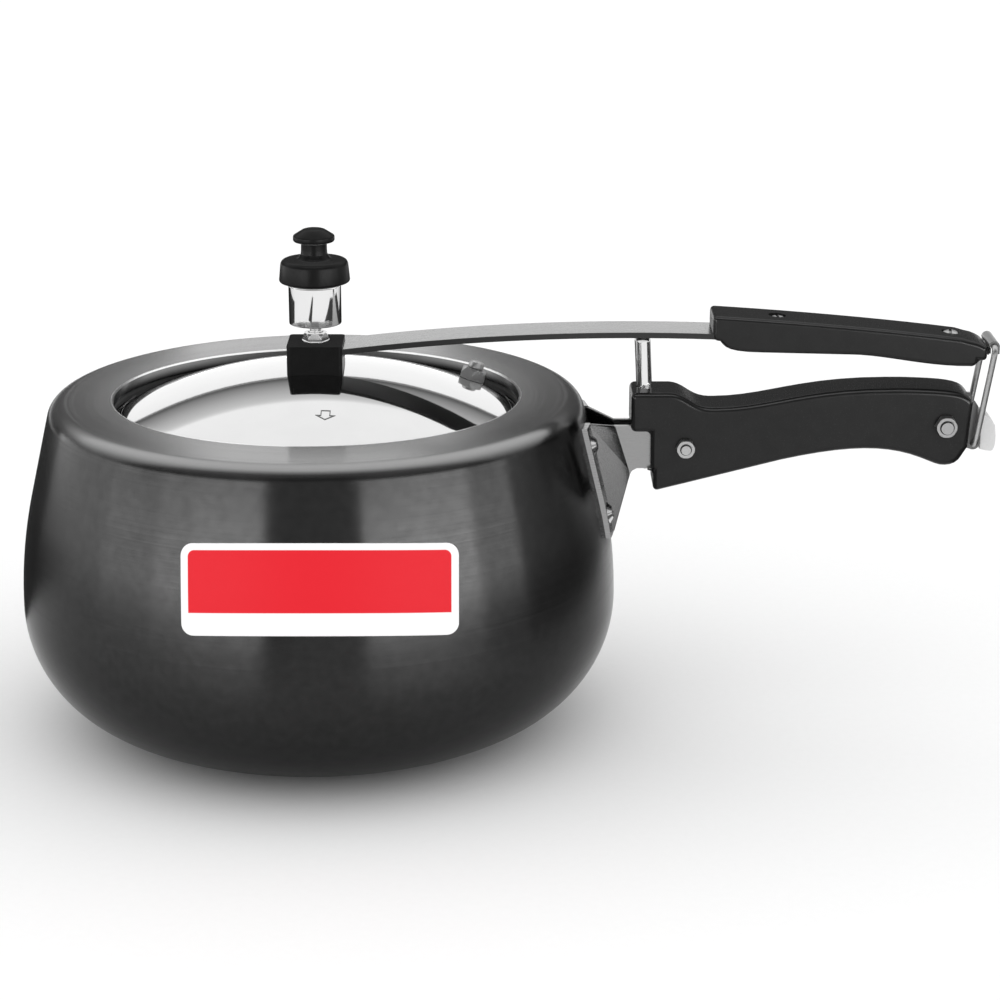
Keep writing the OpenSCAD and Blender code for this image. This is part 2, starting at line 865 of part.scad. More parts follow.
lid_handle_outline = concat(
    bezier([
        [lid_handle_front + 0.9, bar_z(lid_handle_front) + lid_handle_rise + 0.3],
        [lid_handle_front + 30, lid_handle_top(lid_handle_front + 30) + 1],
        [lid_handle_rear - 40, lid_handle_top(lid_handle_rear - 40) + 1],
        [lid_handle_rear - 10.5, lid_handle_top(lid_handle_rear - 10.5) - 0.3]
    ]),
    bezier([
        [lid_handle_rear - 7, bar_z(lid_handle_rear) + 5.3],
        [lid_handle_rear - 3.5, bar_z(lid_handle_rear) + 4.7],
        [lid_handle_rear - 1.2, bar_z(lid_handle_rear) + 3.4],
        [lid_handle_rear, bar_z(lid_handle_rear) + 2.4]
    ], 5),
    [
        [lid_handle_rear, bar_z(lid_handle_rear) - 2.9],
        [lid_handle_rear - 3.6, bar_z(lid_handle_rear) - 2.6],
        [lid_handle_rear - 3.9, bar_z(lid_handle_rear) - 4.8]
    ],
    bezier([
        [lid_handle_rear - 5.8, bar_z(lid_handle_rear) - 5.2],
        [lid_handle_rear - 25, bar_z(lid_handle_rear) - 5.4],
        [lid_handle_rear - 40, bar_z(lid_handle_rear) - 0.5],
        [lid_handle_front + 54, bar_z(lid_handle_front) - 7.4]
    ]),
    bezier([
        [lid_handle_front + 20, bar_z(lid_handle_front) - 6.6],
        [lid_handle_front + 6, bar_z(lid_handle_front) - 6.4],
        [lid_handle_front + 5, bar_z(lid_handle_front) - 4.6],
        [lid_handle_front + 3, bar_z(lid_handle_front) - 2]
    ], 6),
    [
        [lid_handle_front, bar_z(lid_handle_front) - 1.5],
        [lid_handle_front, bar_z(lid_handle_front) + lid_handle_rise - 0.6]
    ]
);

module lid_handle() {
    half = lid_handle_w / 2;
    color([0.13, 0.13, 0.13])
        difference() {
            side_plate(lid_handle_outline, -half, half);
            side_plate(
                bar_outline(lid_handle_front - 6, lid_handle_rear + 6, 0.1),
                -tail_w / 2 - 0.15, tail_w / 2 + 0.15
            );
            // Wider pocket where the full width of the bar goes in
            side_plate(
                bar_outline(lid_handle_front - 6, lid_handle_front + 1.3, 0.1),
                -bar_w / 2 - 0.15, bar_w / 2 + 0.15
            );
            for (x = lid_screw_xs)
                translate([x, 0, bar_z(x)]) {
                    cylinder(d = lid_screw_d + 2 * screw_fit, h = 30);
                    translate([0, 0, lid_handle_top(x) - bar_z(x) - lid_screw_head_h - 0.6])
                        cylinder(d = lid_screw_head_d + 0.6, h = 20);
                }
        }
}

module lid_handle_screws() {
    color("gainsboro")
        for (x = lid_screw_xs) {
            head_z = lid_handle_top(x) - lid_screw_head_h - 0.6;
            translate([x, 0, bar_z(x) - bar_t / 2])
                cylinder(d = lid_screw_d, h = head_z - bar_z(x) + bar_t / 2 + 0.1);
            translate([x, 0, head_z])
                cylinder(d = lid_screw_head_d, h = lid_screw_head_h);
        }
}

// ---- Safety valve ----
module safety_valve_body() {
    color("gainsboro")
        on_dome(valve_x, valve_y)
            difference() {
                union() {
                    translate([0, 0, 0.05])
                        intersection() {
                            hex(valve_af, valve_h);
                            cylinder(d1 = valve_af * 1.25, d2 = valve_af, h = valve_h);
                        }
                    translate([0, 0, -lid_t - 4.6])
                        cylinder(d = vent_thread_d, h = lid_t + 4.7);
                }
                translate([0, 0, -10])
                    cylinder(d = 3, h = 20);
            }
}

module safety_plug() {
    color("silver")
        on_dome(valve_x, valve_y) {
            translate([0, 0, -lid_t - 3])
                cylinder(d = 3, h = lid_t + valve_h + 3.2);
            translate([0, 0, valve_h + 0.05])
                cylinder(d1 = 6.8, d2 = 5.6, h = 3.4);
        }
}

module safety_valve_washer() {
    color("firebrick")
        on_dome(valve_x, valve_y)
            translate([0, 0, -lid_t - 1.25])
                difference() {
                    cylinder(d = 11, h = 1.1);
                    translate([0, 0, -through])
                        cylinder(d = vent_thread_d, h = 2 * through + 2);
                }
}

module safety_valve_nut() {
    color("gainsboro")
        on_dome(valve_x, valve_y)
            translate([0, 0, -lid_t - 4])
                difference() {
                    hex(10, 2.75);
                    translate([0, 0, -through])
                        cylinder(d = vent_thread_d, h = 6);
                }
}

// ---- Weight ----
module weight_body() {
    edge = 0.5;
    r = weight_d / 2;
    color("gainsboro")
        difference() {
            rotate_extrude()
                polygon([
                    [0, weight_bottom],
                    [r - edge, weight_bottom],
                    [r, weight_bottom + edge],
                    [r, weight_top - edge],
                    [r - edge, weight_top],
                    [0, weight_top]
                ]);
            translate([0, 0, weight_bottom - through])
                cylinder(d = weight_bore_d, h = weight_bore_top - weight_bottom + through);
            translate([0, 0, weight_bottom])
                cylinder(d = stud_d, h = weight_h + through);
        }
}

module weight_needle() {
    color("silver")
        rotate_extrude()
            polygon([
                [0, vent_top + 0.3],
                [0.5, vent_top + 0.3],
                [stud_d / 2, vent_top + 2.4],
                [stud_d / 2, weight_top - 3],
                [0, weight_top - 3]
            ]);
}

module weight_stud() {
    color("silver")
        translate([0, 0, weight_top - 3])
            cylinder(d = stud_d, h = cap_h + 9);
}

module weight_cap() {
    disc_r = cap_d / 2;
    disc_top = weight_top + cap_h;
    knob_top = disc_top + knob_h;
    knob_r = knob_d / 2;
    neck_r = 5.1;
    color([0.13, 0.13, 0.13])
        difference() {
            rotate_extrude()
                polygon(concat(
                    [[0, weight_top], [disc_r - 2.2, weight_top]],
                    arc([disc_r - 1.4, weight_top + 1.8], 1.4, -60, 0, 4),
                    arc([disc_r - 2, disc_top - 1.6], 1.6, 10, 90, 6),
                    [
                        [7.2, disc_top + 0.1],
                        [6.2, disc_top + 1],
                        [neck_r, disc_top + 3],
                        [neck_r, disc_top + 6.4],
                        [knob_r - 1.2, disc_top + 7.2]
                    ],
                    arc([knob_r - 0.8, disc_top + 8.2], 0.8, -45, 60, 4),
                    [
                        [knob_r - 3.2, knob_top - 0.6],
                        [knob_r - 4.2, knob_top],
                        [0, knob_top]
                    ]
                ));
            translate([0, 0, weight_top - through])
                cylinder(d = stud_d, h = cap_h + 7);
        }
}

pot_body();
front_label();
handle_bracket();
bracket_rivets();
fulcrum_post();
body_handle();
front_bolt();
front_nut();
rear_bolt();
rear_nut();
loop_bracket();
lock_loop();
loop_clip();
loop_tab();
lid();
gasket();
bridge_block();
vent_tube();
vent_washer();
vent_nut();
handle_bar();
lid_handle();
lid_handle_screws();
safety_valve_body();
safety_plug();
safety_valve_washer();
safety_valve_nut();
weight_body();
weight_needle();
weight_stud();
weight_cap();
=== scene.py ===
import json
import math
import bpy
from mathutils import Matrix, Vector

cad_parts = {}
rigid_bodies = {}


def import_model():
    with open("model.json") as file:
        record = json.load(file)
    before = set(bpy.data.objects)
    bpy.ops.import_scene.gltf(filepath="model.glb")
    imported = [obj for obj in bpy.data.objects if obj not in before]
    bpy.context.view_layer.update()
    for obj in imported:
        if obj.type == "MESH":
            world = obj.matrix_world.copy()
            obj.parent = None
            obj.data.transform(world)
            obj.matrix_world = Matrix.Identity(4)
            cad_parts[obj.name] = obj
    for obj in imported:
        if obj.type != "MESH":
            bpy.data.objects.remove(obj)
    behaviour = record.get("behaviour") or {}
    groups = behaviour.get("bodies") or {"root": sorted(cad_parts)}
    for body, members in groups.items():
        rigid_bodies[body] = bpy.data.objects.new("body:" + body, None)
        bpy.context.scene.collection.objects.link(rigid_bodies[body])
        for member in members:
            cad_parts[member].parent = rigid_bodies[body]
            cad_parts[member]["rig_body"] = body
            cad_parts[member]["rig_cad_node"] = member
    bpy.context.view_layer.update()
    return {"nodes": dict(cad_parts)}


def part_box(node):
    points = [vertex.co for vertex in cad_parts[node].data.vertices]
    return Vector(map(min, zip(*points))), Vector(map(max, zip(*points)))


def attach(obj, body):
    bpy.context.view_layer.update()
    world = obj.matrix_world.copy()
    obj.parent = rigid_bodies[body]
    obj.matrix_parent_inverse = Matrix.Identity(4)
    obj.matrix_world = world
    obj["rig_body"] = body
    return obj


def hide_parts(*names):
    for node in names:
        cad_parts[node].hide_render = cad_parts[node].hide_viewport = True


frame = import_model()
mm = 0.001


# Selecting and shaping, shared by the pieces

def deselectAll():
    bpy.ops.object.select_all(action="DESELECT")


def setMode(mode):
    bpy.ops.object.mode_set(mode=mode)


def selectWhere(piece, test):
    # leaves the piece in edit mode with only the vertices that pass the test selected
    setMode("EDIT")
    bpy.ops.mesh.select_mode(type="VERT")
    bpy.ops.mesh.select_all(action="DESELECT")
    setMode("OBJECT")
    for vertex in piece.data.vertices:
        vertex.select = test(vertex.co)
    setMode("EDIT")


def useModifier(piece, kind, **values):
    modifier = piece.modifiers.new(kind.title(), kind)
    for key, value in values.items():
        setattr(modifier, key, value)
    bpy.ops.object.modifier_apply(modifier=modifier.name)


def makeActive(piece):
    deselectAll()
    piece.select_set(True)
    bpy.context.view_layer.objects.active = piece


def fixNormals():
    bpy.ops.mesh.select_all(action="SELECT")
    bpy.ops.mesh.remove_doubles(threshold=1e-6)
    bpy.ops.mesh.normals_make_consistent(inside=False)


def startLine(name, points):
    # one vertex, then an edge extruded to each next point, in metres
    deselectAll()
    bpy.ops.mesh.primitive_plane_add(size=mm, location=(0, 0, 0))
    piece = bpy.context.object
    piece.name = piece.data.name = name
    setMode("EDIT")
    bpy.ops.mesh.select_mode(type="VERT")
    bpy.ops.mesh.select_all(action="SELECT")
    bpy.ops.mesh.merge(type="CENTER")
    bpy.ops.transform.translate(value=points[0])
    for start, end in zip(points, points[1:]):
        bpy.ops.mesh.extrude_region_move(TRANSFORM_OT_translate={"value": end - start})
    return piece


def spinProfile(name, profile, steps):
    # profile is a list of (radius, height) in millimetres, closed on itself or ending on the axis
    piece = startLine(name, [Vector((r, 0, z)) * mm for r, z in profile])
    bpy.ops.mesh.select_all(action="SELECT")
    bpy.ops.mesh.spin(steps=steps, angle=2 * math.pi, center=(0, 0, 0), axis=(0, 0, 1))
    fixNormals()
    setMode("OBJECT")
    return piece


def extrudeOutline(name, outline, low, high):
    # outline is a list of (x, z) in millimetres, filled and drawn out along Y from low to high
    piece = startLine(name, [Vector((x, low, z)) * mm for x, z in outline])
    bpy.ops.mesh.select_all(action="SELECT")
    bpy.ops.mesh.edge_face_add()
    bpy.ops.mesh.extrude_region_move(TRANSFORM_OT_translate={"value": (0, (high - low) * mm, 0)})
    fixNormals()
    setMode("OBJECT")
    return piece


def cutWith(piece, cutter, operation="DIFFERENCE"):
    makeActive(piece)
    useModifier(piece, "BOOLEAN", object=cutter, operation=operation, solver="EXACT")
    bpy.data.objects.remove(cutter)


def addRod(start, end, radius, sides=48):
    # a plain round bar between two points in millimetres, mostly used to cut with
    deselectAll()
    along = Vector(end) - Vector(start)
    bpy.ops.mesh.primitive_cylinder_add(vertices=sides, radius=radius * mm, depth=along.length * mm)
    rod = bpy.context.object
    turn = along.to_track_quat("Z", "Y").to_matrix().to_4x4()
    rod.data.transform(Matrix.Translation((Vector(start) + Vector(end)) / 2 * mm) @ turn)
    return rod


def addBlock(low, high):
    deselectAll()
    centre = (Vector(low) + Vector(high)) / 2 * mm
    size = (Vector(high) - Vector(low)) * mm
    bpy.ops.mesh.primitive_cube_add(size=1)
    block = bpy.context.object
    block.data.transform(Matrix.Translation(centre) @ Matrix.Diagonal((*size, 1)))
    return block


def finishPiece(piece, body, nodes, materials, smoothAngle=32, flatFaces=False):
    makeActive(piece)
    bpy.ops.object.shade_smooth_by_angle(angle=math.radians(smoothAngle))
    if flatFaces:
        useModifier(piece, "WEIGHTED_NORMAL", keep_sharp=True, weight=80)
    piece.data.materials.clear()
    for material in materials:
        piece.data.materials.append(material)
    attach(piece, body)
    if nodes:
        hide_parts(*nodes)
    return piece


def softened(node, name, width, segments=2, angle=35):
    # a merged copy of a CAD node with its sharp edges rounded
    makeActive(frame["nodes"][node])
    bpy.ops.object.duplicate()
    piece = bpy.context.object
    piece.name = piece.data.name = name
    piece.parent = None
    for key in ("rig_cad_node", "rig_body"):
        del piece[key]
    setMode("EDIT")
    bpy.ops.mesh.select_mode(type="VERT")
    bpy.ops.mesh.select_all(action="SELECT")
    bpy.ops.mesh.remove_doubles(threshold=2e-6)
    bpy.ops.mesh.dissolve_limited(angle_limit=math.radians(0.4))
    bpy.ops.mesh.normals_make_consistent(inside=False)
    setMode("OBJECT")
    useModifier(piece, "BEVEL", width=width * mm, segments=segments, limit_method="ANGLE",
                angle_limit=math.radians(angle), harden_normals=False)
    return piece


# Curves in millimetres

def ray(degrees):
    return Vector((math.cos(math.radians(degrees)), math.sin(math.radians(degrees))))


def arcPoints(centre, radius, start, end, steps):
    return [centre + radius * ray(start + (end - start) * i / steps) for i in range(steps + 1)]


def bezierPoints(a, b, c, d, steps=10):
    points = []
    for i in range(steps + 1):
        t = i / steps
        s = 1 - t
        mix = s ** 3 * Vector(a) + 3 * s * s * t * Vector(b) + 3 * s * t * t * Vector(c) + t ** 3 * Vector(d)
        points.append(mix)
    return points


# Shader effects that more than one finish uses

def addSocket(group, name, direction, value=None):
    socket = group.interface.new_socket(name=name, in_out=direction, socket_type="NodeSocketFloat")
    if value is not None:
        socket.default_value = value
    return socket


def stretchVector(nodes, links, vector, given):
    # long fine scratches: each axis is scaled by an input of its own
    apart = nodes.new("ShaderNodeSeparateXYZ")
    joined = nodes.new("ShaderNodeCombineXYZ")
    links.new(vector, apart.inputs["Vector"])
    for axis in "XYZ":
        times = nodes.new("ShaderNodeMath")
        times.operation = "MULTIPLY"
        links.new(apart.outputs[axis], times.inputs[0])
        links.new(given["Across " + axis], times.inputs[1])
        links.new(times.outputs[0], joined.inputs[axis])
    return joined.outputs["Vector"]


def turnVector(nodes, links, vector, given):
    # turning marks: rings round the pot's axis, by radius and height
    apart = nodes.new("ShaderNodeSeparateXYZ")
    flat = nodes.new("ShaderNodeCombineXYZ")
    radius = nodes.new("ShaderNodeVectorMath")
    radius.operation = "LENGTH"
    joined = nodes.new("ShaderNodeCombineXYZ")
    links.new(vector, apart.inputs["Vector"])
    for axis in "XY":
        links.new(apart.outputs[axis], flat.inputs[axis])
    links.new(flat.outputs["Vector"], radius.inputs[0])
    links.new(radius.outputs["Value"], joined.inputs["X"])
    links.new(apart.outputs["Z"], joined.inputs["Y"])
    return joined.outputs["Vector"]


def makeEffect(name, inputs, scale, detail, shape=None):
    # noise on object coordinates, as a value from Low to High and as a height
    group = bpy.data.node_groups.new(name, "ShaderNodeTree")
    for socket, value in (*inputs, ("Low", 0.0), ("High", 1.0)):
        addSocket(group, socket, "INPUT", value)
    for socket in ("Value", "Height"):
        addSocket(group, socket, "OUTPUT")
    nodes, links = group.nodes, group.links
    given = nodes.new("NodeGroupInput").outputs
    result = nodes.new("NodeGroupOutput").inputs
    vector = nodes.new("ShaderNodeTexCoord").outputs["Object"]
    if shape:
        vector = shape(nodes, links, vector, given)
    noise = nodes.new("ShaderNodeTexNoise")
    noise.inputs["Detail"].default_value = detail
    if isinstance(scale, str):
        links.new(given[scale], noise.inputs["Scale"])
    else:
        noise.inputs["Scale"].default_value = scale
    spread = nodes.new("ShaderNodeMapRange")
    spread.inputs["From Min"].default_value = 0.3
    spread.inputs["From Max"].default_value = 0.7
    links.new(vector, noise.inputs["Vector"])
    links.new(noise.outputs["Fac"], spread.inputs["Value"])
    links.new(given["Low"], spread.inputs["To Min"])
    links.new(given["High"], spread.inputs["To Max"])
    links.new(spread.outputs["Result"], result["Value"])
    links.new(noise.outputs["Fac"], result["Height"])
    return group


brushAxes = [("Across X", 60.0), ("Across Y", 4000.0), ("Across Z", 4000.0)]
effects = {
    "grain": makeEffect("fineGrain", [("Scale", 900.0)], "Scale", 3),
    "brush": makeEffect("brushMarks", brushAxes, 1, 2, stretchVector),
    "spun": makeEffect("spunRings", [("Rings", 3000.0)], "Rings", 2, turnVector),
}


def newMaterial(name, constants):
    material = bpy.data.materials.new(name)
    material.use_nodes = True
    shader = material.node_tree.nodes["Principled BSDF"]
    for socket, value in constants.items():
        shader.inputs[socket].default_value = value
    return material, material.node_tree.nodes, material.node_tree.links, shader


def addEffect(nodes, kind, **values):
    effect = nodes.new("ShaderNodeGroup")
    effect.node_tree = effects[kind]
    for name, value in values.items():
        effect.inputs[name.replace("_", " ")].default_value = value
    return effect


def addBump(nodes, links, shader, height, strength, distance):
    bump = nodes.new("ShaderNodeBump")
    bump.inputs["Strength"].default_value = strength
    bump.inputs["Distance"].default_value = distance * mm
    links.new(height, bump.inputs["Height"])
    links.new(bump.outputs["Normal"], shader.inputs["Normal"])


def mixColours(nodes, links, mask, low, high):
    mix = nodes.new("ShaderNodeMix")
    mix.data_type = "RGBA"
    mix.inputs["A"].default_value = (*low, 1)
    mix.inputs["B"].default_value = (*high, 1)
    links.new(mask, mix.inputs["Factor"])
    return mix.outputs["Result"]


# Finishes

def anodisedBlack():
    # the wall mirrors as dark metal does, and the level shoulder as a hard clear film does
    values = {"wall": 0.028, "wallLight": 0.034, "shoulderFrom": 130.4, "shoulderTo": 134.6, "roughLow": 0.2,
              "roughHigh": 0.26, "wallEdge": 0.8}
    material, nodes, links, shader = newMaterial("anodisedBlack", {
        "IOR": 3.2, "Anisotropic": 0.85, "Anisotropic Rotation": 0.25})
    grooves = nodes.new("ShaderNodeTangent")
    grooves.direction_type = "RADIAL"
    grooves.axis = "Z"
    links.new(grooves.outputs["Tangent"], shader.inputs["Tangent"])
    spun = addEffect(nodes, "spun", Rings=2200, Low=values["roughLow"], High=values["roughHigh"])
    links.new(spun.outputs["Value"], shader.inputs["Roughness"])
    grain = addEffect(nodes, "grain", Scale=260, Low=0, High=1)
    wall = [values["wall"]] * 3
    light = [values["wallLight"]] * 3
    links.new(mixColours(nodes, links, grain.outputs["Value"], wall, light), shader.inputs["Base Color"])
    place = nodes.new("ShaderNodeTexCoord")
    apart = nodes.new("ShaderNodeSeparateXYZ")
    toShoulder = nodes.new("ShaderNodeMapRange")
    toShoulder.interpolation_type = "SMOOTHSTEP"
    toShoulder.inputs["From Min"].default_value = values["shoulderFrom"] * mm
    toShoulder.inputs["From Max"].default_value = values["shoulderTo"] * mm
    toShoulder.inputs["To Min"].default_value = 1
    toShoulder.inputs["To Max"].default_value = 0
    links.new(place.outputs["Object"], apart.inputs["Vector"])
    links.new(apart.outputs["Z"], toShoulder.inputs["Value"])
    links.new(toShoulder.outputs["Result"], shader.inputs["Metallic"])
    links.new(mixColours(nodes, links, toShoulder.outputs["Result"], (1, 1, 1), [values["wallEdge"]] * 3),
              shader.inputs["Specular Tint"])
    addBump(nodes, links, shader, spun.outputs["Height"], 0.05, 0.01)
    return material


def machinedAluminium():
    material, nodes, links, shader = newMaterial("machinedAluminium", {"Metallic": 1})
    spun = addEffect(nodes, "spun", Rings=5000, Low=0.16, High=0.3)
    links.new(spun.outputs["Value"], shader.inputs["Roughness"])
    links.new(mixColours(nodes, links, spun.outputs["Value"], (0.8, 0.8, 0.8), (0.9, 0.9, 0.9)),
              shader.inputs["Base Color"])
    addBump(nodes, links, shader, spun.outputs["Height"], 0.1, 0.02)
    return material


def polishedSteel(name, tone, roughLow, roughHigh, edge=1.0):
    constants = {"Metallic": 1, "Specular Tint": (edge, edge, edge, 1)}
    material, nodes, links, shader = newMaterial(name, constants)
    grain = addEffect(nodes, "grain", Scale=1800, Low=roughLow, High=roughHigh)
    links.new(grain.outputs["Value"], shader.inputs["Roughness"])
    cloud = addEffect(nodes, "grain", Scale=70, Low=0, High=1)
    links.new(mixColours(nodes, links, cloud.outputs["Value"], [tone * 0.97] * 3, [tone] * 3),
              shader.inputs["Base Color"])
    return material


def brushedSteel(name, tone, roughLow, roughHigh, along="X"):
    material, nodes, links, shader = newMaterial(name, {"Metallic": 1})
    across = {"Across_" + axis: 3500.0 for axis in "XYZ"}
    across["Across_" + along] = 50.0
    marks = addEffect(nodes, "brush", Low=0, High=1, **across)
    spread = nodes.new("ShaderNodeMapRange")
    spread.inputs["To Min"].default_value = roughLow
    spread.inputs["To Max"].default_value = roughHigh
    links.new(marks.outputs["Value"], spread.inputs["Value"])
    links.new(spread.outputs["Result"], shader.inputs["Roughness"])
    links.new(mixColours(nodes, links, marks.outputs["Value"], [tone * 0.95] * 3, [tone] * 3),
              shader.inputs["Base Color"])
    addBump(nodes, links, shader, marks.outputs["Height"], 0.05, 0.01)
    return material


def bakeliteBlack(name, gloss, roughLow, roughHigh):
    material, nodes, links, shader = newMaterial(name, {"Specular IOR Level": gloss})
    fine = addEffect(nodes, "grain", Scale=2600, Low=roughLow, High=roughHigh)
    links.new(fine.outputs["Value"], shader.inputs["Roughness"])
    cloud = addEffect(nodes, "grain", Scale=160, Low=0, High=1)
    links.new(mixColours(nodes, links, cloud.outputs["Value"], (0.008, 0.008, 0.008), (0.011, 0.011, 0.011)),
              shader.inputs["Base Color"])
    addBump(nodes, links, shader, fine.outputs["Height"], 0.08, 0.02)
    return material


def softPlastic(name, low, high, rough):
    material, nodes, links, shader = newMaterial(name, {})
    fine = addEffect(nodes, "grain", Scale=1500, Low=rough - 0.06, High=rough + 0.06)
    links.new(fine.outputs["Value"], shader.inputs["Roughness"])
    links.new(mixColours(nodes, links, fine.outputs["Height"], low, high), shader.inputs["Base Color"])
    addBump(nodes, links, shader, fine.outputs["Height"], 0.1, 0.02)
    return material


filmDroop = 0.00136  # how far the label sinks, in millimetres for each square millimetre from its middle


def printedLabel():
    # a red field with rounded upper corners on a white film, by place on the label
    low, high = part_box("front_label")
    values = {"border": 2.7, "topBorder": 2.4, "strip": 8.4, "corner": 2.4, "soft": 0.12}
    centreX = (low.x + high.x) / 2 / mm
    halfX = (high.x - low.x) / 2 / mm - values["border"]
    top = high.z / mm - values["topBorder"]
    bottom = low.z / mm + values["strip"]
    material, nodes, links, shader = newMaterial("printedLabel", {"Specular IOR Level": 0.05, "IOR": 1.5})

    def calc(operation, a, b=None):
        node = nodes.new("ShaderNodeMath")
        node.operation = operation
        for socket, value in zip(node.inputs, (a, b)):
            if isinstance(value, (int, float)):
                socket.default_value = value
            elif value is not None:
                links.new(value, socket)
        return node.outputs[0]

    place = nodes.new("ShaderNodeTexCoord")
    apart = nodes.new("ShaderNodeSeparateXYZ")
    links.new(place.outputs["Object"], apart.inputs["Vector"])
    x = calc("MULTIPLY", apart.outputs["X"], 1 / mm)
    sunk = calc("MULTIPLY", calc("MULTIPLY", x, x), filmDroop)
    z = calc("ADD", calc("MULTIPLY", apart.outputs["Z"], 1 / mm), sunk)
    side = calc("SUBTRACT", calc("ABSOLUTE", calc("SUBTRACT", x, centreX)), halfX - values["corner"])
    rise = calc("SUBTRACT", z, top - values["corner"])
    cornerReach = calc("SQRT", calc("ADD", calc("POWER", calc("MAXIMUM", side, 0), 2),
                                    calc("POWER", calc("MAXIMUM", rise, 0), 2)))
    outside = calc("SUBTRACT", cornerReach, values["corner"])
    below = calc("SUBTRACT", bottom, z)
    # below the corners' band the sides are straight
    edge = calc("MAXIMUM", outside, below)
    field = nodes.new("ShaderNodeMapRange")
    field.inputs["From Min"].default_value = -values["soft"]
    field.inputs["From Max"].default_value = values["soft"]
    field.inputs["To Min"].default_value = 1
    field.inputs["To Max"].default_value = 0
    links.new(edge, field.inputs["Value"])
    links.new(mixColours(nodes, links, field.outputs["Result"], (0.97, 0.97, 0.97), (0.8, 0.022, 0.034)),
              shader.inputs["Base Color"])
    fine = addEffect(nodes, "grain", Scale=900, Low=0.4, High=0.5)
    links.new(fine.outputs["Value"], shader.inputs["Roughness"])
    return material


finishes = {
    "black": anodisedBlack(),
    "machined": machinedAluminium(),
    "chrome": polishedSteel("polishedChrome", 0.68, 0.03, 0.07),
    "rodChrome": polishedSteel("rodChrome", 0.8, 0.04, 0.08, 0.05),
    "steel": polishedSteel("polishedSteel", 0.66, 0.16, 0.24),
    "zinc": polishedSteel("zincPlate", 0.5, 0.34, 0.44, 0.3),
    # near-black steel for the bar's edges: a painted dark reflection, not the steel's own colour
    "paintedEdgeShade": brushedSteel("paintedDarkEdge", 0.05, 0.3, 0.4),
    "satin": brushedSteel("satinSteel", 0.31, 0.2, 0.3),
    "dark": brushedSteel("darkSteel", 0.2, 0.3, 0.42, "Y"),
    "bakelite": bakeliteBlack("bakeliteBlack", 0.24, 0.2, 0.28),
    "dull": bakeliteBlack("dullBakelite", 0.06, 0.26, 0.34),
    "rubber": softPlastic("blackRubber", (0.012, 0.012, 0.012), (0.03, 0.03, 0.03), 0.6),
    "redRubber": softPlastic("redRubber", (0.25, 0.02, 0.02), (0.4, 0.04, 0.04), 0.6),
    "tab": softPlastic("palePlastic", (0.62, 0.62, 0.62), (0.7, 0.7, 0.7), 0.4),
    "label": printedLabel(),
}
print("finishes made:", len(finishes))


# Camera, at the height and distance of a long lens across a table

cameraPlace = {"location": (0.0732, -1.0637, 0.4163), "pitch": 17.0138, "lens": 99}
cameraData = bpy.data.cameras.new("camera")
cameraData.lens = cameraPlace["lens"]
camera = bpy.data.objects.new("camera", cameraData)
bpy.context.scene.collection.objects.link(camera)
camera.location = cameraPlace["location"]
camera.rotation_euler = (math.radians(90 - cameraPlace["pitch"]), 0, 0)
bpy.context.scene.camera = camera
bpy.context.scene.view_settings.view_transform = "Standard"


# Pot: one turned wall, drawn to an oval at the mouth

pot = {"baseR": 54.9, "heelR": 83.7, "heelTurn": 26, "bellyR": 49.8, "upperR": 191.7, "wallLean": 13.1,
       "wallRun": 33.8, "shoulderR": 7.3, "shoulderFall": 0.4, "underFall": 5.7, "wall": 3.25,
       "mouthLong": 161.5, "mouthShort": 151.4, "lip": 4.8, "lipEdge": 0.5, "brightRing": 1.0,
       "brightReach": 0.5075, "seatReach": 8.7, "steps": 288}
heelCentre = Vector((pot["baseR"], pot["heelR"]))
bellyCentre = heelCentre + (pot["heelR"] - pot["bellyR"]) * ray(pot["heelTurn"] - 90)
upperCentre = bellyCentre - Vector((pot["upperR"] - pot["bellyR"], 0))
wallTop = upperCentre + pot["upperR"] * ray(pot["wallLean"]) + pot["wallRun"] * ray(90 + pot["wallLean"])
shoulderCentre = wallTop - pot["shoulderR"] * ray(pot["wallLean"])
crest = shoulderCentre.y + pot["shoulderR"]


def potOutline(inset, fine=1, fall=pot["shoulderFall"]):
    return [
        Vector((0, inset)),
        *arcPoints(heelCentre, pot["heelR"] - inset, -90, pot["heelTurn"] - 90, 10 * fine),
        *arcPoints(bellyCentre, pot["bellyR"] - inset, pot["heelTurn"] - 87, 0, 20 * fine),
        *arcPoints(upperCentre, pot["upperR"] - inset, 1, pot["wallLean"], 8 * fine),
        *arcPoints(shoulderCentre, pot["shoulderR"] - inset, pot["wallLean"], 90 + fall, 14 * fine),
    ]


def shoulderHeight(radius):
    end = shoulderCentre + pot["shoulderR"] * ray(90 + pot["shoulderFall"])
    return end.y - (end.x - radius) * math.tan(math.radians(pot["shoulderFall"]))


def onOval(co, grow, height, near=0.02):
    # whether a vertex lies on the mouth's circle, before it is drawn to an oval
    radius = math.hypot(co.x, co.y) / mm
    return abs(radius - pot["mouthShort"] / 2 - grow) < near and abs(co.z / mm - height) < near


def makePot():
    mouth = pot["mouthShort"] / 2
    lipTop = shoulderHeight(mouth)
    seat = lipTop - pot["lip"]
    edge = pot["lipEdge"]
    rings = [  # growth past the mouth and height of each ring that follows the oval
        (pot["brightRing"], shoulderHeight(mouth + pot["brightRing"])), (edge, lipTop), (0, lipTop - edge),
        (0, seat + edge), (edge, seat), (pot["seatReach"], seat)]
    profile = potOutline(0) + [Vector((mouth + grow, height)) for grow, height in rings]
    profile += reversed(potOutline(pot["wall"], 1, pot["underFall"]))
    piece = spinProfile("pot", profile, pot["steps"])
    for grow, height in rings:
        selectWhere(piece, lambda co: onOval(co, grow, height))
        long = (pot["mouthLong"] / 2 + grow) / (mouth + grow)
        bpy.ops.transform.resize(value=(long, 1, 1))
        setMode("OBJECT")
    return piece, lipTop, seat


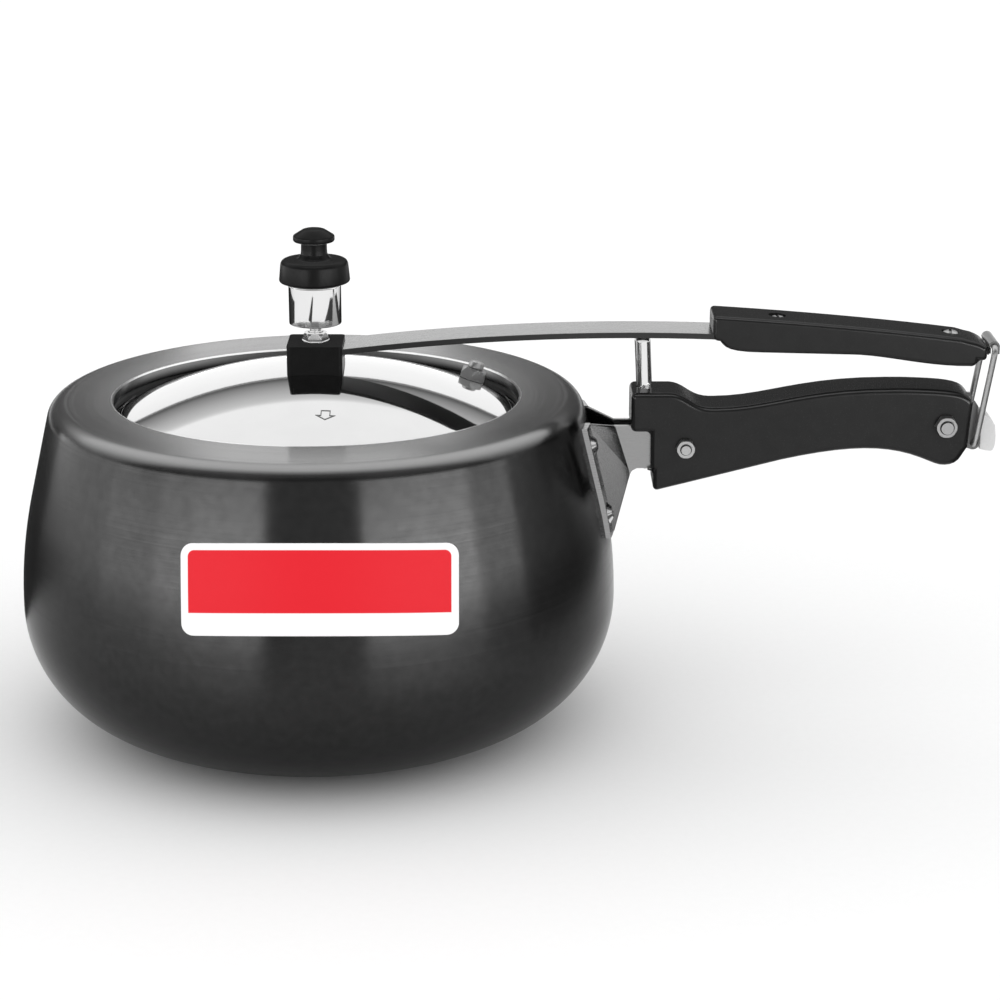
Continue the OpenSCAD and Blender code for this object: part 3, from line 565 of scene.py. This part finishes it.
potPiece, lipTop, seat = makePot()
finishPiece(potPiece, "pot", ["pot_body"], [finishes["black"], finishes["machined"]])
for face in potPiece.data.polygons:  # the lip is cut bright
    mouthReach = math.hypot(face.center.x / pot["mouthLong"], face.center.y / pot["mouthShort"]) / mm
    overLip = face.center.z / mm - lipTop
    if -pot["lipEdge"] - 0.05 < overLip < 0.2 and mouthReach < pot["brightReach"]:
        face.material_index = 1
print("pot made")


# Label: a film on the wall, cut from a thin turned sheet

label = {"corner": 4.5, "film": 0.15, "off": 0.08, "sideSteps": 16, "cornerSteps": 10, "near": -140,
         "far": -40}


def labelDroop(x):
    # a straight film laid on the cone of the wall sinks towards its ends
    return filmDroop * x * x


def makeLabel():
    low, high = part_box("front_label")
    sheet = spinProfile("label", [
        *potOutline(-label["off"] - label["film"], 2), Vector((0, crest)), Vector((0, crest - 1)),
        *reversed(potOutline(-label["off"], 2)[1:]), Vector((0, -label["off"]))], pot["steps"])
    r = label["corner"]
    x0, x1, z0, z1 = low.x / mm, high.x / mm, low.z / mm, high.z / mm
    steps, turns = label["sideSteps"], label["cornerSteps"]
    across = [x0 + r + (x1 - x0 - 2 * r) * i / steps for i in range(1, steps)]
    outline = [
        *arcPoints(Vector((x1 - r, z1 - r)), r, 0, 90, turns),
        *[Vector((x, z1)) for x in reversed(across)],
        *arcPoints(Vector((x0 + r, z1 - r)), r, 90, 180, turns),
        *arcPoints(Vector((x0 + r, z0 + r)), r, 180, 270, turns),
        *[Vector((x, z0)) for x in across],
        *arcPoints(Vector((x1 - r, z0 + r)), r, 270, 360, turns),
    ]
    sunk = [Vector((x, z - labelDroop(x))) for x, z in outline]
    cutter = extrudeOutline("labelCutter", sunk, label["near"], label["far"])
    cutWith(sheet, cutter, "INTERSECT")
    return sheet


finishPiece(makeLabel(), "pot", ["front_label"], [finishes["label"]], 40)
print("label made")


# Lid: a pressed dome with an upright edge and a flange under the lip

lid = {"inset": 2.3, "sheet": 1.2, "bend": 1.6, "flange": 5.5, "domeR": 190.53, "domeTop": 145.978,
       "flangeTop": 128.478, "steps": 240, "domeSteps": 16}
marks = {"upper": 300, "under": 200}  # heights that stand for the dome's two faces until they are pressed


def domeHeight(x, y, depth=0):
    # height of the dome's surface over a point, in millimetres
    return lid["domeTop"] - lid["domeR"] + math.sqrt((lid["domeR"] - depth) ** 2 - x * x - y * y)


def makeLid():
    top, sheet, bend = lid["flangeTop"], lid["sheet"], lid["bend"]
    upper, under = marks["upper"], marks["under"]
    side = pot["mouthShort"] / 2 - lid["inset"]
    sideLong = pot["mouthLong"] / 2 - lid["inset"]
    rim = side + lid["inset"] + lid["flange"]
    steps = lid["domeSteps"]
    domeLine = [(side - bend) * i / steps for i in range(steps + 1)]
    profile = [Vector((r, upper)) for r in domeLine]
    for turn in (18, 36, 54, 72, 90):
        a = math.radians(turn)
        profile.append(Vector((side - bend + bend * math.sin(a), upper - bend * (1 - math.cos(a)))))
    profile += [
        Vector((side, top + 0.5)), Vector((side + 0.5, top)), Vector((rim, top)), Vector((rim, top - sheet)),
        Vector((side - sheet * 0.6, top - sheet)), Vector((side - sheet, top - sheet + 0.6)),
        Vector((side - sheet, under - sheet))]
    profile += [Vector((r, under - sheet)) for r in reversed(domeLine[:-1])]
    piece = spinProfile("lidDome", profile, lid["steps"])
    for vertex in piece.data.vertices:  # draw every ring to the oval, then press the dome to its sphere
        radius = math.hypot(vertex.co.x, vertex.co.y) / mm
        if radius > 1e-6:
            grow = max(radius - side, -bend)
            vertex.co.x *= (sideLong + grow) / (side + grow)
        x, y, z = vertex.co / mm
        if z > (upper + under) / 2:
            vertex.co.z = (domeHeight(x, y) + z - upper) * mm
        elif z > top + 1:
            vertex.co.z = domeHeight(x, y, sheet) * mm
    makeActive(piece)
    setMode("EDIT")
    fixNormals()
    setMode("OBJECT")
    return piece


finishPiece(makeLid(), "lid_and_bar", ["lid"], [finishes["chrome"]])
print("lid made")


# Arrow: a raised outline on the dome that shows which way the lid goes in

arrow = {"x": 6.4, "tail": -45.0, "neck": -48.6, "tip": -52.0, "shaft": 3.8, "head": 7.8, "line": 0.4,
         "rise": 0.16, "sunk": 0.3}


def makeArrow():
    half, wide = arrow["shaft"] / 2, arrow["head"] / 2
    outline = [(-half, arrow["tail"]), (half, arrow["tail"]), (half, arrow["neck"]), (wide, arrow["neck"]),
               (0, arrow["tip"]), (-wide, arrow["neck"]), (-half, arrow["neck"])]
    points = [Vector((arrow["x"] + x, y, 0)) * mm for x, y in outline]
    piece = startLine("lidArrow", points)
    bpy.ops.mesh.select_all(action="SELECT")
    bpy.ops.mesh.edge_face_add()
    bpy.ops.mesh.select_mode(type="FACE")
    bpy.ops.mesh.select_all(action="SELECT")
    bpy.ops.mesh.inset(thickness=arrow["line"] * mm, use_even_offset=True)
    bpy.ops.mesh.delete(type="FACE")
    bpy.ops.mesh.select_mode(type="VERT")
    bpy.ops.mesh.select_all(action="SELECT")
    bpy.ops.mesh.subdivide(number_cuts=3)
    high = (arrow["rise"] + arrow["sunk"]) * mm
    bpy.ops.mesh.extrude_region_move(TRANSFORM_OT_translate={"value": (0, 0, high)})
    fixNormals()
    setMode("OBJECT")
    for vertex in piece.data.vertices:  # laid on the dome, with its foot just under the surface
        x, y, z = vertex.co / mm
        vertex.co.z = (domeHeight(x, y) - arrow["sunk"] + z) * mm
    return piece


finishPiece(makeArrow(), "lid_and_bar", [], [finishes["dark"]])
print("arrow made")


# Body handle

handle = {"front": 125.252, "rear": 260.552, "width": 22, "round": 2.2, "over": 2.8, "armTop": 123.546,
          "armBottom": 106.046, "armHalf": 6.5, "armEnd": 156.15, "boltX": 147.052, "boltZ": 115.846,
          "boltD": 4.3, "rearBoltX": 250.252, "rearBoltZ": 125.046, "rearBoltD": 5.3, "earHalf": 8.2}


def handleOutline():
    front, rear, armBottom = handle["front"], handle["rear"], handle["armBottom"]
    return [
        Vector((front, crest + handle["over"])),
        Vector((front + 14.5, crest + handle["over"])),
        *bezierPoints((front + 16, crest + handle["over"]), (front + 22.5, crest + 2.2),
                      (front + 24, crest - 3), (front + 32, crest - 3.2)),
        *bezierPoints((front + 34, crest - 3.2), (front + 55, crest - 3), (front + 68, crest + 4.7),
                      (rear - 32, crest + 4.7)),
        *bezierPoints((rear - 26, crest + 4.7), (rear - 8, crest + 4.2), (rear - 1, crest + 3.6),
                      (rear + 0.3, crest - 1.5), 9),
        Vector((rear - 1.1, crest - 19.4)),
        *bezierPoints((rear - 3.2, crest - 22.8), (rear - 5, crest - 27), (rear - 10, crest - 27.8),
                      (rear - 14, crest - 26.2), 6),
        *bezierPoints((rear - 20, crest - 23.8), (rear - 33, crest - 18.8), (rear - 48, crest - 18.6),
                      (front + 60, crest - 24.8)),
        Vector((front + 24, crest - 34)),
        Vector((front + 9.1, crest - 37.8)),
        Vector((front + 9.1, armBottom)),
        Vector((front + 8, armBottom)),
        Vector((front + 8, crest - 13.2)),
        Vector((front, crest - 13.2)),
    ]


def makeBodyHandle():
    half = handle["width"] / 2
    piece = extrudeOutline("bodyHandle", handleOutline(), -half, half)
    makeActive(piece)
    useModifier(piece, "BEVEL", width=handle["round"] * mm, segments=5, limit_method="ANGLE",
                angle_limit=math.radians(50), use_clamp_overlap=False)
    front, rear, arm, ear = handle["front"], handle["rear"], handle["armHalf"], handle["earHalf"]
    armLow = (front - 1, -arm, handle["armBottom"] - 2.5)
    armHigh = (handle["armEnd"], arm, handle["armTop"] + 0.3)
    cutWith(piece, addBlock(armLow, armHigh))
    cutWith(piece, addBlock((rear - 16.8, -ear, crest - 23), (rear + 24, ear, crest - 0.5)))
    for x, z, d in ((handle["boltX"], handle["boltZ"], handle["boltD"]),
                    (handle["rearBoltX"], handle["rearBoltZ"], handle["rearBoltD"])):
        cutWith(piece, addRod((x, -half - 1, z), (x, half + 1, z), d / 2))
    return piece


finishPiece(makeBodyHandle(), "pot", ["body_handle"], [finishes["bakelite"]], flatFaces=True)
print("body handle made")


# Lid handle, over the bar's tail

bar = {"bendR": 957.0, "frontX": 11.0, "frontZ": 154.776, "peakX": 125.052, "tailX": 192.042,
       "tailZ": 159.228, "slope": 0.07}
grip = {"front": 157.052, "rear": 265.452, "width": 21.5, "rise": 8.0, "slope": 0.085, "round": 1.8,
        "screwD": 7.0, "screwX": (183.052, 251.952), "screwDrop": 3.0}


def barHeight(x):
    peak = bar["frontZ"] + (bar["peakX"] - bar["frontX"]) ** 2 / (2 * bar["bendR"])
    if x < bar["frontX"]:
        return bar["frontZ"]
    if x < bar["tailX"]:
        return peak - (x - bar["peakX"]) ** 2 / (2 * bar["bendR"])
    return bar["tailZ"] - (x - bar["tailX"]) * bar["slope"]


def gripTop(x):
    return barHeight(grip["front"]) + grip["rise"] - (x - grip["front"]) * grip["slope"]


def gripOutline():
    front, rear = grip["front"], grip["rear"]
    start, end = barHeight(front), barHeight(rear)
    return [
        *bezierPoints((front, start + grip["rise"] + 0.3), (front + 30, gripTop(front + 30) + 1),
                      (rear - 40, gripTop(rear - 40) + 1), (rear - 10.5, gripTop(rear - 10.5) - 0.3)),
        *bezierPoints((rear - 7, end + 5.3), (rear - 3.5, end + 4.7), (rear - 1.2, end + 3.4),
                      (rear, end + 2.4), 4),
        Vector((rear, end - 2.9)), Vector((rear - 3.6, end - 2.6)), Vector((rear - 3.9, end - 4.8)),
        *bezierPoints((rear - 5.8, end - 5.2), (rear - 25, end - 5.4), (rear - 40, end - 0.5),
                      (front + 54, start - 7.4)),
        *bezierPoints((front + 20, start - 6.6), (front + 6, start - 6.4), (front + 5, start - 4.6),
                      (front + 3, start - 2), 6),
        Vector((front, start - 1.5)),
    ]


def makeLidHandle():
    half = grip["width"] / 2
    piece = extrudeOutline("lidHandle", gripOutline(), -half, half)
    makeActive(piece)
    useModifier(piece, "BEVEL", width=grip["round"] * mm, segments=4, limit_method="ANGLE",
                angle_limit=math.radians(60), use_clamp_overlap=False)
    for x in grip["screwX"]:
        top = gripTop(x)
        cutWith(piece, addRod((x, 0, top - grip["screwDrop"]), (x, 0, top + 8), grip["screwD"] / 2))
    return piece


finishPiece(makeLidHandle(), "lid_and_bar", ["lid_handle"], [finishes["bakelite"]],
            flatFaces=True)
print("lid handle made")


# Screws that hold the lid handle to the bar: domed heads with a slot

screw = {"headR": 3.2, "headH": 2.0, "shankR": 2.0, "sunk": 1.5, "slot": 1.1, "slotDeep": 1.1,
         "turn": (8, -6)}


def makeGripScrews():
    heads = []
    for index, x in enumerate(grip["screwX"]):
        foot = gripTop(x) - screw["sunk"]
        r, h = screw["headR"], screw["headH"]
        profile = [
            Vector((0, barHeight(x) - foot - 1)), Vector((screw["shankR"], barHeight(x) - foot - 1)),
            Vector((screw["shankR"], 0)), Vector((r, 0)), Vector((r, 0.5)),
            *bezierPoints((r - 0.15, 0.9), (r * 0.8, h - 0.3), (r * 0.4, h), (0, h), 7)]
        head = spinProfile("gripScrew" + str(index), profile, 40)
        half = screw["slot"] / 2
        cutWith(head, addBlock((-half, -r - 1, h - screw["slotDeep"]), (half, r + 1, h + 1)))
        turn = Matrix.Rotation(math.radians(screw["turn"][index]), 4, "Z")
        head.data.transform(Matrix.Translation(Vector((x, 0, foot)) * mm) @ turn)
        heads.append(head)
    makeActive(heads[0])
    heads[1].select_set(True)
    bpy.ops.object.join()
    heads[0].name = heads[0].data.name = "gripScrews"
    return heads[0]


finishPiece(makeGripScrews(), "lid_and_bar", ["lid_handle_screws"], [finishes["zinc"]])
print("screws made")


# Weight: a steel cylinder under a heat-proof cap

weight = {"d": 20.8, "bottom": 164.276, "top": 180.076, "edge": 0.6, "bore": 9.4, "boreTop": 174.676,
          "capD": 28.0, "capH": 10.0, "knobD": 16.4, "knobH": 12.1, "neckR": 5.1}


def makeWeightBody():
    r, low, top, edge = weight["d"] / 2, weight["bottom"], weight["top"], weight["edge"]
    profile = [
        Vector((0, weight["boreTop"])), Vector((weight["bore"] / 2, weight["boreTop"])),
        Vector((weight["bore"] / 2, low + 0.4)), Vector((weight["bore"] / 2 + 0.4, low)),
        *arcPoints(Vector((r - edge, low + edge)), edge, -90, 0, 5),
        *arcPoints(Vector((r - edge, top - edge)), edge, 0, 90, 5), Vector((0, top))]
    return spinProfile("weightBody", profile, 96)


def makeWeightCap():
    r = weight["capD"] / 2
    low = weight["top"]
    top = low + weight["capH"]
    knob = weight["knobD"] / 2
    end = top + weight["knobH"]
    neck = weight["neckR"]
    profile = [
        Vector((0, low + 0.02)), Vector((r - 3.4, low + 0.02)),
        *arcPoints(Vector((r - 1.0, low + 2.0)), 1.0, -60, 2, 5),
        *arcPoints(Vector((r - 2.6, top - 2.0)), 2.0, 6, 84, 9),
        *bezierPoints((7.4, top + 0.15), (6.6, top + 0.2), (6.2, top + 0.6), (6.0, top + 1.2), 4),
        *bezierPoints((neck + 0.2, top + 2.2), (neck, top + 3), (neck, top + 5), (neck, top + 6.2), 4),
        Vector((neck + 0.5, top + 6.7)),
        *arcPoints(Vector((knob - 0.9, top + 8.0)), 0.9, -58, 0, 4),
        *arcPoints(Vector((knob - 0.9, top + 9.0)), 0.9, 4, 56, 4),
        Vector((4.5, end - 0.25)), Vector((3.7, end)), Vector((0, end))]
    return spinProfile("weightCap", profile, 96)


finishPiece(makeWeightBody(), "weight", ["weight_body"], [finishes["rodChrome"]])
finishPiece(makeWeightCap(), "weight", ["weight_cap"], [finishes["dull"]], 20)
print("weight made")


# Nuts on the handle's near side, with a countersink round the bolt's end

nuts = {
    "front": {"node": "front_nut", "x": 147.052, "z": 115.846, "holeR": 2.1, "sinkR": 2.35},
    "rear": {"node": "rear_nut", "x": 250.252, "z": 125.046, "holeR": 2.6, "sinkR": 2.9},
    "round": 0.35, "sinkDeep": 1.0,
}


def makeNut(side):
    nut = nuts[side]
    piece = softened(nut["node"], side + "Nut", nuts["round"])
    low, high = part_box(nut["node"])
    face = low.y / mm
    x, z = nut["x"], nut["z"]
    deselectAll()
    bpy.ops.mesh.primitive_cone_add(vertices=48, radius1=nut["holeR"] * mm, radius2=nut["sinkR"] * mm,
                                    depth=nuts["sinkDeep"] * mm)
    sink = bpy.context.object
    turn = Matrix.Rotation(math.radians(90), 4, "X")
    place = Vector((x, face + nuts["sinkDeep"] / 2 - 0.01, z)) * mm
    sink.data.transform(Matrix.Translation(place) @ turn)
    cutWith(piece, sink)
    return piece


for side in ("front", "rear"):
    finishPiece(makeNut(side), "pot", [nuts[side]["node"]], [finishes["zinc"]],
                flatFaces=True)
print("nuts made")


# Small pieces: rounded copies, or the CAD node with its finish

rounded = [  # node, name, body, slot, finish, rounding in millimetres
    ("handle_bar", "handleBar", "lid_and_bar", "steel_satin", "satin", 0.35),
    ("bridge_block", "bridgeBlock", "lid_and_bar", "bakelite", "dull", 0.8),
    ("vent_nut", "ventNut", "lid_and_bar", "steel_bright", "steel", 0.2),
    ("front_bolt", "frontBolt", "pot", "steel_bright", "zinc", 0.3),
    ("rear_bolt", "rearBolt", "pot", "steel_bright", "zinc", 0.3),
    ("safety_valve_body", "valveBody", "lid_and_bar", "steel_bright", "zinc", 0.3),
    ("safety_plug", "valvePlug", "lid_and_bar", "steel_satin", "zinc", 0.9),
    ("loop_bracket", "loopEars", "pot", "steel_dark", "dark", 0.25),
    ("loop_tab", "loopTab", "loop", "tab_grey", "tab", 0.5),
    ("loop_clip", "loopClip", "loop", "steel_dark", "dark", 0.15),
]
for node, name, body, slotName, finish, width in rounded:
    finishPiece(softened(node, name, width), body, [node], [finishes[finish]], flatFaces=True)
barPiece = bpy.data.objects["handleBar"]
barPiece.data.materials.append(finishes["paintedEdgeShade"])
for face in barPiece.data.polygons:  # its edges and its underside, near-black: painted dark reflection
    if abs(face.normal.y) > 0.5 or face.normal.z < -0.5:
        face.material_index = 1
plain = {
    "handle_bracket": "satin", "bracket_rivets": "steel", "fulcrum_post": "rodChrome", "lock_loop": "zinc",
    "gasket": "rubber", "vent_tube": "steel", "vent_washer": "redRubber", "safety_valve_washer": "redRubber",
    "safety_valve_nut": "steel", "weight_needle": "steel", "weight_stud": "steel",
}
for node, finish in plain.items():
    for slot in frame["nodes"][node].material_slots:
        slot.material = finishes[finish]
bright = [bpy.data.objects[name] for name in (  # bare metal, which has lamps of its own
    "lidDome", "lidArrow", "weightBody", "handleBar", "ventNut", "valveBody", "valvePlug", "gripScrews",
    "frontNut", "rearNut", "frontBolt", "rearBolt", "loopEars", "loopClip")]
bright += [frame["nodes"][node] for node in plain if node != "gasket"]
overLid = [bpy.data.objects[name] for name in ("weightBody", "weightCap", "ventNut")]
overLid += [frame["nodes"][node] for node in ("vent_tube", "weight_stud", "weight_needle")]
for piece in overLid:
    piece.visible_glossy = False  # kept out of the lid's mirror
print("small pieces made:", len(rounded) + len(plain))


# Floor, world and lamps

floor = {"x": 4.0, "near": -4.0, "far": 8.0, "tone": 0.93}


def makeFloor():
    deselectAll()
    bpy.ops.mesh.primitive_plane_add(size=1)
    piece = bpy.context.object
    piece.name = piece.data.name = "floor"
    size = Matrix.Diagonal((2 * floor["x"], floor["far"] - floor["near"], 1, 1))
    piece.data.transform(Matrix.Translation((0, (floor["far"] + floor["near"]) / 2, 0)) @ size)
    material, nodes, links, shader = newMaterial("floorPaper", {"Specular IOR Level": 0.0, "Roughness": 1.0})
    grain = addEffect(nodes, "grain", Scale=300, Low=0, High=1)
    tone = floor["tone"]
    links.new(mixColours(nodes, links, grain.outputs["Value"], [tone] * 3, [tone + 0.01] * 3),
              shader.inputs["Base Color"])
    piece.data.materials.append(material)


sky = [  # angle up from the back wall and over to the front, in degrees, and brightness
    (-180, 0.9), (-1, 0.9), (0, 1.1), (21.4, 1.1), (22.2, 0.06), (25, 0.28), (36.4, 0.8), (37.4, 1.22),
    (155, 1.15), (165, 0.95), (180, 0.8)]
hoods = {  # bands of the same angle that black and shiny pieces see dark, and how dark
    "front": (100, 112, 152, 160), "back": (-4, -2, 21.4, 22.2), "tone": 0.1}


def makeWorld():
    # a long room with straight edges from side to side
    world = bpy.data.worlds.new("studio")
    bpy.context.scene.world = world
    world.use_nodes = True
    nodes, links = world.node_tree.nodes, world.node_tree.links
    place = nodes.new("ShaderNodeTexCoord")
    apart = nodes.new("ShaderNodeSeparateXYZ")
    angle = nodes.new("ShaderNodeMath")
    angle.operation = "ARCTAN2"
    degrees = nodes.new("ShaderNodeMath")
    degrees.operation = "DEGREES"
    share = nodes.new("ShaderNodeMapRange")
    share.inputs["From Min"].default_value = -180
    share.inputs["From Max"].default_value = 180
    ramp = nodes.new("ShaderNodeValToRGB")
    stops = ramp.color_ramp.elements
    for end, stop in ((0, stops[0]), (1, stops[-1])):
        stop.position = end
        stop.color = (sky[-end][1],) * 3 + (1,)
    for turn, tone in sky[1:-1]:
        stops.new((turn + 180) / 360).color = (tone, tone, tone, 1)
    links.new(place.outputs["Generated"], apart.inputs["Vector"])
    links.new(apart.outputs["Z"], angle.inputs[0])
    links.new(apart.outputs["Y"], angle.inputs[1])
    links.new(angle.outputs[0], degrees.inputs[0])
    links.new(degrees.outputs[0], share.inputs["Value"])
    links.new(share.outputs["Result"], ramp.inputs["Fac"])
    path = nodes.new("ShaderNodeLightPath")
    colour = ramp.outputs["Color"]
    for name in ("front", "back"):
        start, full, last, end = hoods[name]
        shade = path.outputs["Is Glossy Ray"]
        for low, high in ((start, full), (end, last)):
            edge = nodes.new("ShaderNodeMapRange")
            edge.inputs["From Min"].default_value = low
            edge.inputs["From Max"].default_value = high
            both = nodes.new("ShaderNodeMath")
            both.operation = "MULTIPLY"
            links.new(degrees.outputs[0], edge.inputs["Value"])
            links.new(shade, both.inputs[0])
            links.new(edge.outputs["Result"], both.inputs[1])
            shade = both.outputs[0]
        shaded = nodes.new("ShaderNodeMix")
        shaded.data_type = "RGBA"
        shaded.inputs["B"].default_value = (hoods["tone"],) * 3 + (1,)
        links.new(shade, shaded.inputs["Factor"])
        links.new(colour, shaded.inputs["A"])
        colour = shaded.outputs["Result"]
    links.new(colour, nodes["Background"].inputs["Color"])
    nodes["Background"].inputs["Strength"].default_value = 1


def listPieces(name, pieces, state):
    # the only pieces that a lamp lights, or those that it leaves alone
    group = bpy.data.collections.new(name)
    for piece in pieces:
        group.objects.link(piece)
    for entry in group.collection_objects:
        entry.light_linking.link_state = state
    return group


def addLamp(name, azimuth, elevation, distance, width, height, radiance, pieces):
    # an area lamp aimed at the pot; azimuth 0 is over the camera and positive to its right
    data = bpy.data.lights.new(name, "AREA")
    data.shape = "RECTANGLE"
    data.size, data.size_y = width, height
    data.energy = radiance * math.pi * width * height
    lamp = bpy.data.objects.new(name, data)
    bpy.context.scene.collection.objects.link(lamp)
    a, e = math.radians(azimuth), math.radians(elevation)
    place = Vector((math.sin(a) * math.cos(e), -math.cos(a) * math.cos(e), math.sin(e))) * distance
    aim = Vector((0, 0, 0.1))
    lamp.location = aim + place
    lamp.rotation_euler = (-place).to_track_quat("-Z", "Y").to_euler()
    lamp.visible_diffuse = lamp.visible_camera = False
    lamp.light_linking.receiver_collection = pieces
    return lamp


strips = {  # edges in azimuth from the front, and the brightness between them
    "left": ((-17, -30, -45, -60, -85, -128), (10.5, 9.3, 7.0, 4.8, 3.0)),
    "right": ((20, 35, 50, 65, 85, 113), (10.5, 11.0, 10.0, 4.6, 0.4)),
    "distance": 1.6, "height": 0.4, "elevation": 2.5,
}
panels = {  # upright lamps behind the pot: sides in X, bottom, top and brightness
    "backWall": (-3.0, 3.0, 0.0, 0.767, 1.1),
    "shoulderPanel": (-0.25, 0.02, 0.25, 0.9, 1.5),
    "y": 1.6,
}
topBox = {"elevation": 68, "distance": 1.6, "width": 1.6, "height": 0.5, "tone": 4.0}
flags = {  # dark cards by their two corners, in metres
    "front": ((-0.225, -1.5, 0.001), (-0.1, -0.45, 0.002)),
    "right": ((0.3, -0.35, 0.001), (1.1, 0.45, 0.002)),
    "rear": ((0.06, 0.25, 0.003), (0.5, 1.2, 0.004)),
    "left": ((-0.9, 0.1, 0.001), (-0.16, 1.2, 0.002)),
    "tone": 0.05,
}


def addPanel(name, pieces):
    left, right, low, high, radiance = panels[name]
    data = bpy.data.lights.new(name, "AREA")
    data.shape = "RECTANGLE"
    data.size, data.size_y = right - left, high - low
    data.energy = radiance * math.pi * data.size * data.size_y
    lamp = bpy.data.objects.new(name, data)
    bpy.context.scene.collection.objects.link(lamp)
    lamp.location = ((left + right) / 2, panels["y"], (low + high) / 2)
    lamp.rotation_euler = (math.radians(-90), 0, 0)
    lamp.visible_diffuse = lamp.visible_camera = False
    lamp.light_linking.receiver_collection = pieces


def addFlag(name):
    # only shows as a reflection, like a card stood beside the view
    low, high = flags[name]
    piece = addBlock([v / mm for v in low], [v / mm for v in high])
    piece.name = piece.data.name = name + "Flag"
    material, nodes, links, shader = newMaterial(name + "Card", {"Roughness": 1.0, "Specular IOR Level": 0.0})
    shader.inputs["Base Color"].default_value = (flags["tone"],) * 3 + (1,)
    piece.data.materials.append(material)
    piece.visible_camera = piece.visible_diffuse = piece.visible_shadow = False


makeFloor()
makeWorld()
for name in ("front", "right", "rear", "left"):
    addFlag(name)
bareMetal = listPieces("sparedByStrips", bright, "EXCLUDE")
for side in ("left", "right"):
    edges, tones = strips[side]
    for index, (start, end, tone) in enumerate(zip(edges, edges[1:], tones)):
        width = 2 * strips["distance"] * math.tan(math.radians(abs(end - start) / 2))
        addLamp(side + "Strip" + str(index), (start + end) / 2, strips["elevation"], strips["distance"],
                width, strips["height"], tone, bareMetal)
spared = listPieces("sparedByTopBox", [*bright, potPiece], "EXCLUDE")
addLamp("topBox", 0, topBox["elevation"], topBox["distance"], topBox["width"], topBox["height"],
        topBox["tone"], spared)
for name, pieces in (("backWall", bright), ("shoulderPanel", [potPiece])):
    addPanel(name, listPieces(name + "Pieces", pieces, "INCLUDE"))
print("studio made")
